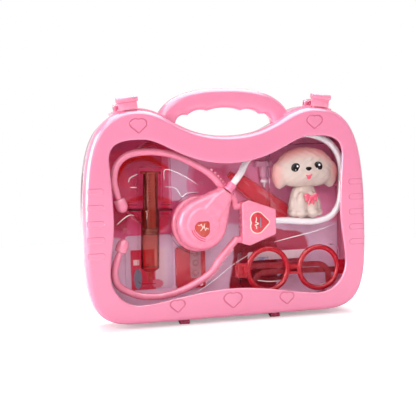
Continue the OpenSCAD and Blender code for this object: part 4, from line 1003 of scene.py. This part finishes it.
# An upright trunk and its seat, then front legs and feet, and hind feet and thighs at both sides
BODY = np.array([78.9, 0.0, 86.8])
BODY_BLOBS = [(BODY + [0, -1, 15], (13.2, 8.4, 18), 0), (BODY + [0, 0.5, 5], (15.2, 7.5, 6.5), 0)]
for s in (-1, 1):
    HEAD_BLOBS += [(HEAD + [s * 13, -1, -6], (11, 9.8, 10.5), 0),
                   (HEAD + [s * 26.3, 0, -7.5], (5.7, 5.8, 11.8), s * 7)]
    BODY_BLOBS += [(BODY + [s * 5.4, -8.4, 10], (4.8, 4.0, 12), 0),
                   (BODY + [s * 5.8, -9.6, 2.7], (5.6, 5.0, 3.4), 0),
                   (BODY + [s * 12.6, -4, 2.8], (4.2, 6.4, 3.6), 0),
                   (BODY + [s * 12, -3, 9], (3.6, 5.5, 9), 0)]
HEAD_BLEND = 1.6


def waves(amount, length):
    """Soft waves of the coat: a product of sines over the skin."""
    def height(p):
        q = p / length
        across = np.sin(q[..., 0] * 2.1 + 1.7 * np.sin(q[..., 2] * 1.3))
        return amount * across * np.sin(q[..., 2] * 1.7 + q[..., 1])
    return height


def puppy_vinyl():
    """Cream vinyl with a peach bloom over the crown and the ears."""
    w = moulded("puppy vinyl", srgb(207, 189, 178), srgb(228, 210, 198), smooth=0.4, rough=0.55, coat=0.0,
                soft=0.1, gloss=0.3)
    w.split()
    across = w.off(w.x, HEAD[0] * MM)
    arch = w.math("MULTIPLY_ADD", w.times(across, across), 11.0, w.z)
    ear = w.times(w.ramp(across, 20 * MM, 31 * MM), w.ramp(w.z, 112 * MM, 130 * MM, 0.4, 0.8))
    bloom = w.most(w.ramp(arch, 141 * MM, 156 * MM), ear)
    uneven = w.ramp(w.noise(60.0, 3.0), 0.2, 0.8, 0.6, 1.0)
    w.paint(w.times(w.times(bloom, uneven), 0.9), srgb(238, 132, 132))
    return w


def on_face(x, z, sunk=0.0):
    """Place on the head's front skin, off its middle by x and z and sunk by a depth: halving between a point
    in front and one inside."""
    near, deep = -30.0, HEAD[1]
    for _ in range(30):
        mid = (near + deep) / 2
        if ellipsoids(np.array([HEAD[0] + x, mid, HEAD[2] + z]), HEAD_BLOBS, HEAD_BLEND) < 0:
            deep = mid
        else:
            near = mid
    return np.array([HEAD[0] + x, near + sunk, HEAD[2] + z])


def lens(c, radii):
    """Ellipsoid as a small smooth part."""
    return rounded_body(c, [(c, radii, 0)], 0.2, 8, 40, 60)


def face():
    """Eyes, nose and mouth as shallow lenses that sit in the skin of the head, with small white domes on the eyes
    as painted highlights.
    """
    eyes, lights = [], []
    for x, z in ((-12.6, 0.0), (8.8, 0.7)):
        c = on_face(x, z, 0.9)
        eyes.append(lens(c, (4.7, 1.9, 4.5)))
        # Two small white domes on each eye: painted highlights.
        for dx, dz, r in ((0.9, 1.5, 0.95), (-1.0, -1.7, 0.45)):
            g = c + [dx, -1.75, dz]
            lights.append(rounded_body(g, [(g, (r, 0.3, r), 0)], 0.1, 3, 16, 24))
    c = on_face(-1, -0.7, 0.6)
    nose = rounded_body(c, [(c, (3.1, 1.7, 1.6), 0), (c + [0, 0, -0.9], (1.9, 1.5, 1.5), 0)], 0.3, 8, 40, 60)
    black = moulded("eye black", srgb(6, 3, 4), srgb(14, 8, 10), smooth=0.12, rough=0.2, coat=0.0, gloss=0.2)
    piece("puppy_eyes", eyes + [nose], black, sharp=80)
    piece("puppy_eye_painted_highlights", lights, moulded("eye highlight paint", srgb(250, 250, 250)), sharp=80)
    c = on_face(-1.1, -7.4, 0.5)
    lips = [(c + [s * 1.5, 0, 0.3], (2.3, 1.1, 1.0), s * -18) for s in (-1, 1)]
    lips.append((c + [0.2, 0, -1.3], (1.9, 1.1, 2.1), 0))
    piece("puppy_mouth", [rounded_body(c, lips, 0.3, 8, 40, 60)], bow_pink, sharp=80)


def bow():
    """Bow on the chest: a knot with two loops and two tails in low relief."""
    c = np.array([81.7, -12.9, 104.0])
    blobs = [(c, (1.7, 1.5, 1.7), 0)]
    for s in (-1, 1):
        blobs += [(c + [s * 3.8, 0, 1.3], (3.2, 1.2, 2.6), s * -24),
                  (c + [s * 4.6, 0, -1.4], (1.2, 1.0, 2.6), s * -16),
                  (c + [s * 1.7, 0, -3.8], (1.2, 1.0, 3.6), s * -14)]
    piece("puppy_bow", [rounded_body(c, blobs, 0.35, 10, 60, 90)], bow_pink, sharp=80)


vinyl = puppy_vinyl()
bow_pink = moulded("bow paint", srgb(232, 84, 112), smooth=0.25, rough=0.4)
for node, skin in (("puppy_head", (HEAD, HEAD_BLOBS, HEAD_BLEND, 40, 130, 180, waves(0.25, 3.0))),
                   ("puppy_body", (BODY + [0, -2, 13.2], BODY_BLOBS, 0.9, 30, 130, 180, waves(0.12, 2.4)))):
    piece(node + "_skin", [rounded_body(*skin)], vinyl, node, slot="puppy_vinyl", sharp=80)
face()
bow()


# Syringe, glasses and what lies behind the tray

def flange(w):
    """Mask of the syringe's finger flange, which shows dark on its edge."""
    return w.times(w.ramp(w.off(w.x, SYRINGE_X * MM), 8.6 * MM, 9.2 * MM), 0.95)


def rod_ribs(w):
    """Mask of the rod's darker flutes and of the fine ribs between them."""
    across = w.less(w.x, SYRINGE_X * MM)
    flutes = w.most(w.line(across, -4.6, 0.3, 1.3, 0.8), w.line(across, 4.2, 0.2, 1.1, 0.8))
    steps = w.ramp(w.math("SINE", w.times(w.z, 2400.0)), 0.0, 0.8, 0.0, 0.8)
    return w.most(flutes, w.times(w.line(across, -1.6, 1.0, 1.6), steps))


def dish_painted_glow(w):
    """Mask of the dish's wall behind the ear arm, laid in its deep red with a painted glow, and of the band at
    the dish's low edge.
    """
    wall = w.less(w.spot(-74, 124 + STAND, 28, 25, 0.05), w.spot(-70.5, 120 + STAND, 26, 22, 0.08))
    band = w.less(w.spot(-66, 99 + STAND, 25, 11.5, 0.08), w.spot(-66, 95 + STAND, 27, 11, 0.12))
    return w.math("MAXIMUM", w.most(wall, w.times(band, 0.65)), 0.0, clamp=True)


def scope_painted_reflections(w):
    """Mask of pale streaks painted over the scope as reflections of the formed sheet."""
    drawn = w.vector("MULTIPLY", w.turn(w.where, -40.0), (0.35, 1.0, 1.6))
    return w.times(w.ramp(w.noise(120.0, 4.0, 0.7, drawn), 0.5, 0.68), 0.7)


def paper_label():
    """Paper behind the glasses: blush stock with two loose rows of small printed shapes."""
    w = moulded("label paper", srgb(232, 196, 204), smooth=0.4, rough=0.55, coat=0.0)
    w.split()
    grain = w.noise(420.0, 4.0, 0.8)
    printed = w.times(w.patch(27, 62, 48, 55, 0.6), w.ramp(grain, 0.52, 0.6))
    w.paint(w.times(printed, 0.4), srgb(190, 120, 150))
    w.paint(w.times(w.patch(35, 46, 49, 53, 0.4), w.ramp(grain, 0.44, 0.5)), srgb(120, 140, 190))
    return w


def badge_paper():
    """Badge: lavender paper with a red panel, a pale margin, a small square and a blue-grey oval."""
    w = moulded("badge print", srgb(214, 184, 206), smooth=0.35, rough=0.5, coat=0.0, gloss=0.2)
    w.split()
    w.paint(w.patch(-83, -60, 27, 65, 0.5), srgb(206, 40, 74))
    w.paint(w.patch(-60, -49, 30, 66, 1.5), srgb(232, 206, 216))
    w.paint(w.patch(-80.5, -75.5, 51, 56, 0.3), srgb(238, 206, 206))
    w.paint(w.spot(-76.6, 38.4, 3.6, 9.4, 0.08), srgb(122, 130, 150))
    w.paint(w.spot(-58, 33, 5, 4, 0.15), srgb(226, 120, 146))
    return w


def card_print():
    """Printed card: a lavender ground with rose, maroon and wine fields whose soft edges wander; the upper right
    field is paled and a red glow is painted by the dish, both as painted light.
    """
    w = moulded("card print", srgb(244, 206, 230), drift=0.1, smooth=0.35, rough=0.5, coat=0.0, gloss=0.2)
    w.split()
    wander = w.times(w.less(w.noise(26.0, 3.0), 0.5), 0.02)
    w.x, w.z = w.add(w.x, wander), w.add(w.z, wander)
    # Upper right rose field, paled to make up for the shade it lies in: painted light over the print.
    w.paint(w.patch(-30, 140, 84, 200, 2.5), srgb(255, 160, 200))
    w.paint(w.patch(-140, -28, 76, 200, 1.5), srgb(226, 90, 140))
    w.paint(w.patch(-52, -26, 108, 150, 1.0), srgb(244, 206, 232))
    w.paint(w.patch(-20, 12, 92, 140, 3.0), srgb(246, 116, 160))
    # Red glow painted on the left wall by the dish, standing in for light where the ear arm's shade falls.
    w.paint(w.patch(-140, -86, 118, 156, 2.0), srgb(240, 74, 116))
    w.paint(w.patch(-140, -84, 82, 106, 3.0), srgb(198, 44, 84))
    w.paint(w.spot(62, 58, 30, 20, 0.06), srgb(214, 84, 112))
    w.paint(w.patch(14, 58, 18, 68, 1.5), srgb(172, 22, 50))
    w.paint(w.times(w.ramp(w.noise(70.0, 4.0, 0.7), 0.56, 0.7), 0.25), srgb(238, 190, 214))
    return w


def creases():
    """Raised creases of the formed tray: thin rounded ridges along smooth lines in its face, tapered to both ends
    and made near-white as painted glints."""
    lines = [[[47.4, 63.7], [66, 67.4], [88, 71.6], [107, 76.5]],
             [[21.7, 53.1], [6, 44.5], [-10, 33], [-25, 23.9], [-39.4, 18.6]],
             [[-55.6, 124.9], [-55.4, 133.1], [-50, 133.6], [-37, 127.6], [-25.6, 120]],
             [[-55.1, 118.9], [-45.2, 117.1], [-39.9, 109.3], [-35.2, 112.2], [-24, 113]],
             [[-88.3, 123.9], [-86.7, 127.8], [-79.8, 130.9]],
             [[-100, 86.9], [-93, 92.6], [-87.7, 95.1], [-83.9, 94.2]],
             [[-86.9, 119.4], [-80.9, 119.2]], [[26, 30], [40, 27.5], [54, 27]],
             [[80, 20.6], [92, 20.6], [101, 24]]]
    for line in lines:
        path = spline(line, 8)
        width = 0.12 + 0.36 * np.sin(np.pi * np.linspace(0, 1, len(path))) ** 0.7
        yield tube(at_depth(path, -4.2), width, 10)


use(clear("syringe amber", srgb(250, 204, 190), rim=srgb(76, 14, 20), shine=0.25, marks=flange),
    "syringe_clear", "syringe_barrel")
use(clear("plunger amber", srgb(210, 106, 94), 0.1, ior=1.1, passing=0.7, rim=srgb(92, 14, 20), shine=0.15,
          marks=rod_ribs), "syringe_clear", "syringe_plunger")
use(moulded("seal rubber", srgb(96, 50, 48), smooth=0.4, rough=0.6), "seal_rubber", "plunger_seal")
use(moulded("glasses red", srgb(178, 12, 34), smooth=0.2, rough=0.32, coat=0.1, gloss=0.3), "glasses_red",
    "glasses_frame")
use(moulded("dark red plastic", srgb(136, 6, 26), smooth=0.24, rough=0.36, coat=0.0, gloss=0.12), "dark_red",
    "glasses_left_temple", "glasses_right_temple", "tweezers")
use(clear("dish red", srgb(255, 206, 224), 0.04, ior=1.06, passing=0.95, rim=srgb(255, 24, 50), shine=0.4,
          marks=dish_painted_glow), "clear_red", "kidney_dish")
use(moulded("board red", srgb(206, 38, 60)), "board_red", "pill_board")
# The scope's pale rim colour is a painted sheen where its skin turns away, and its marks are painted reflections.
use(clear("scope red", srgb(240, 70, 88), 0.05, ior=1.1, passing=0.35, rim=srgb(250, 176, 186), shine=0.6,
          marks=scope_painted_reflections), "board_red", "otoscope")
use(clear("dome sheet", srgb(252, 222, 232), 0.04, passing=0.6), "dome_sheet", "pill_domes")
use(moulded("bottle pink", srgb(226, 160, 188)), "bottle_pink", "dropper_bottle")
use(moulded("cap white", srgb(240, 226, 232)), "cap_white", "dropper_cap")
use(paper_label(), "label_paper", "pocket_label")
use(badge_paper(), "badge_print", "badge_card")
use(card_print(), "card_print", "insert_card")
# The near-white creases are painted glints along the formed tray.
piece("tray_painted_glints", list(creases()),
      clear("crease painted glint", srgb(255, 250, 252), 0.1, ior=1.15, passing=0.25, shine=1.0))
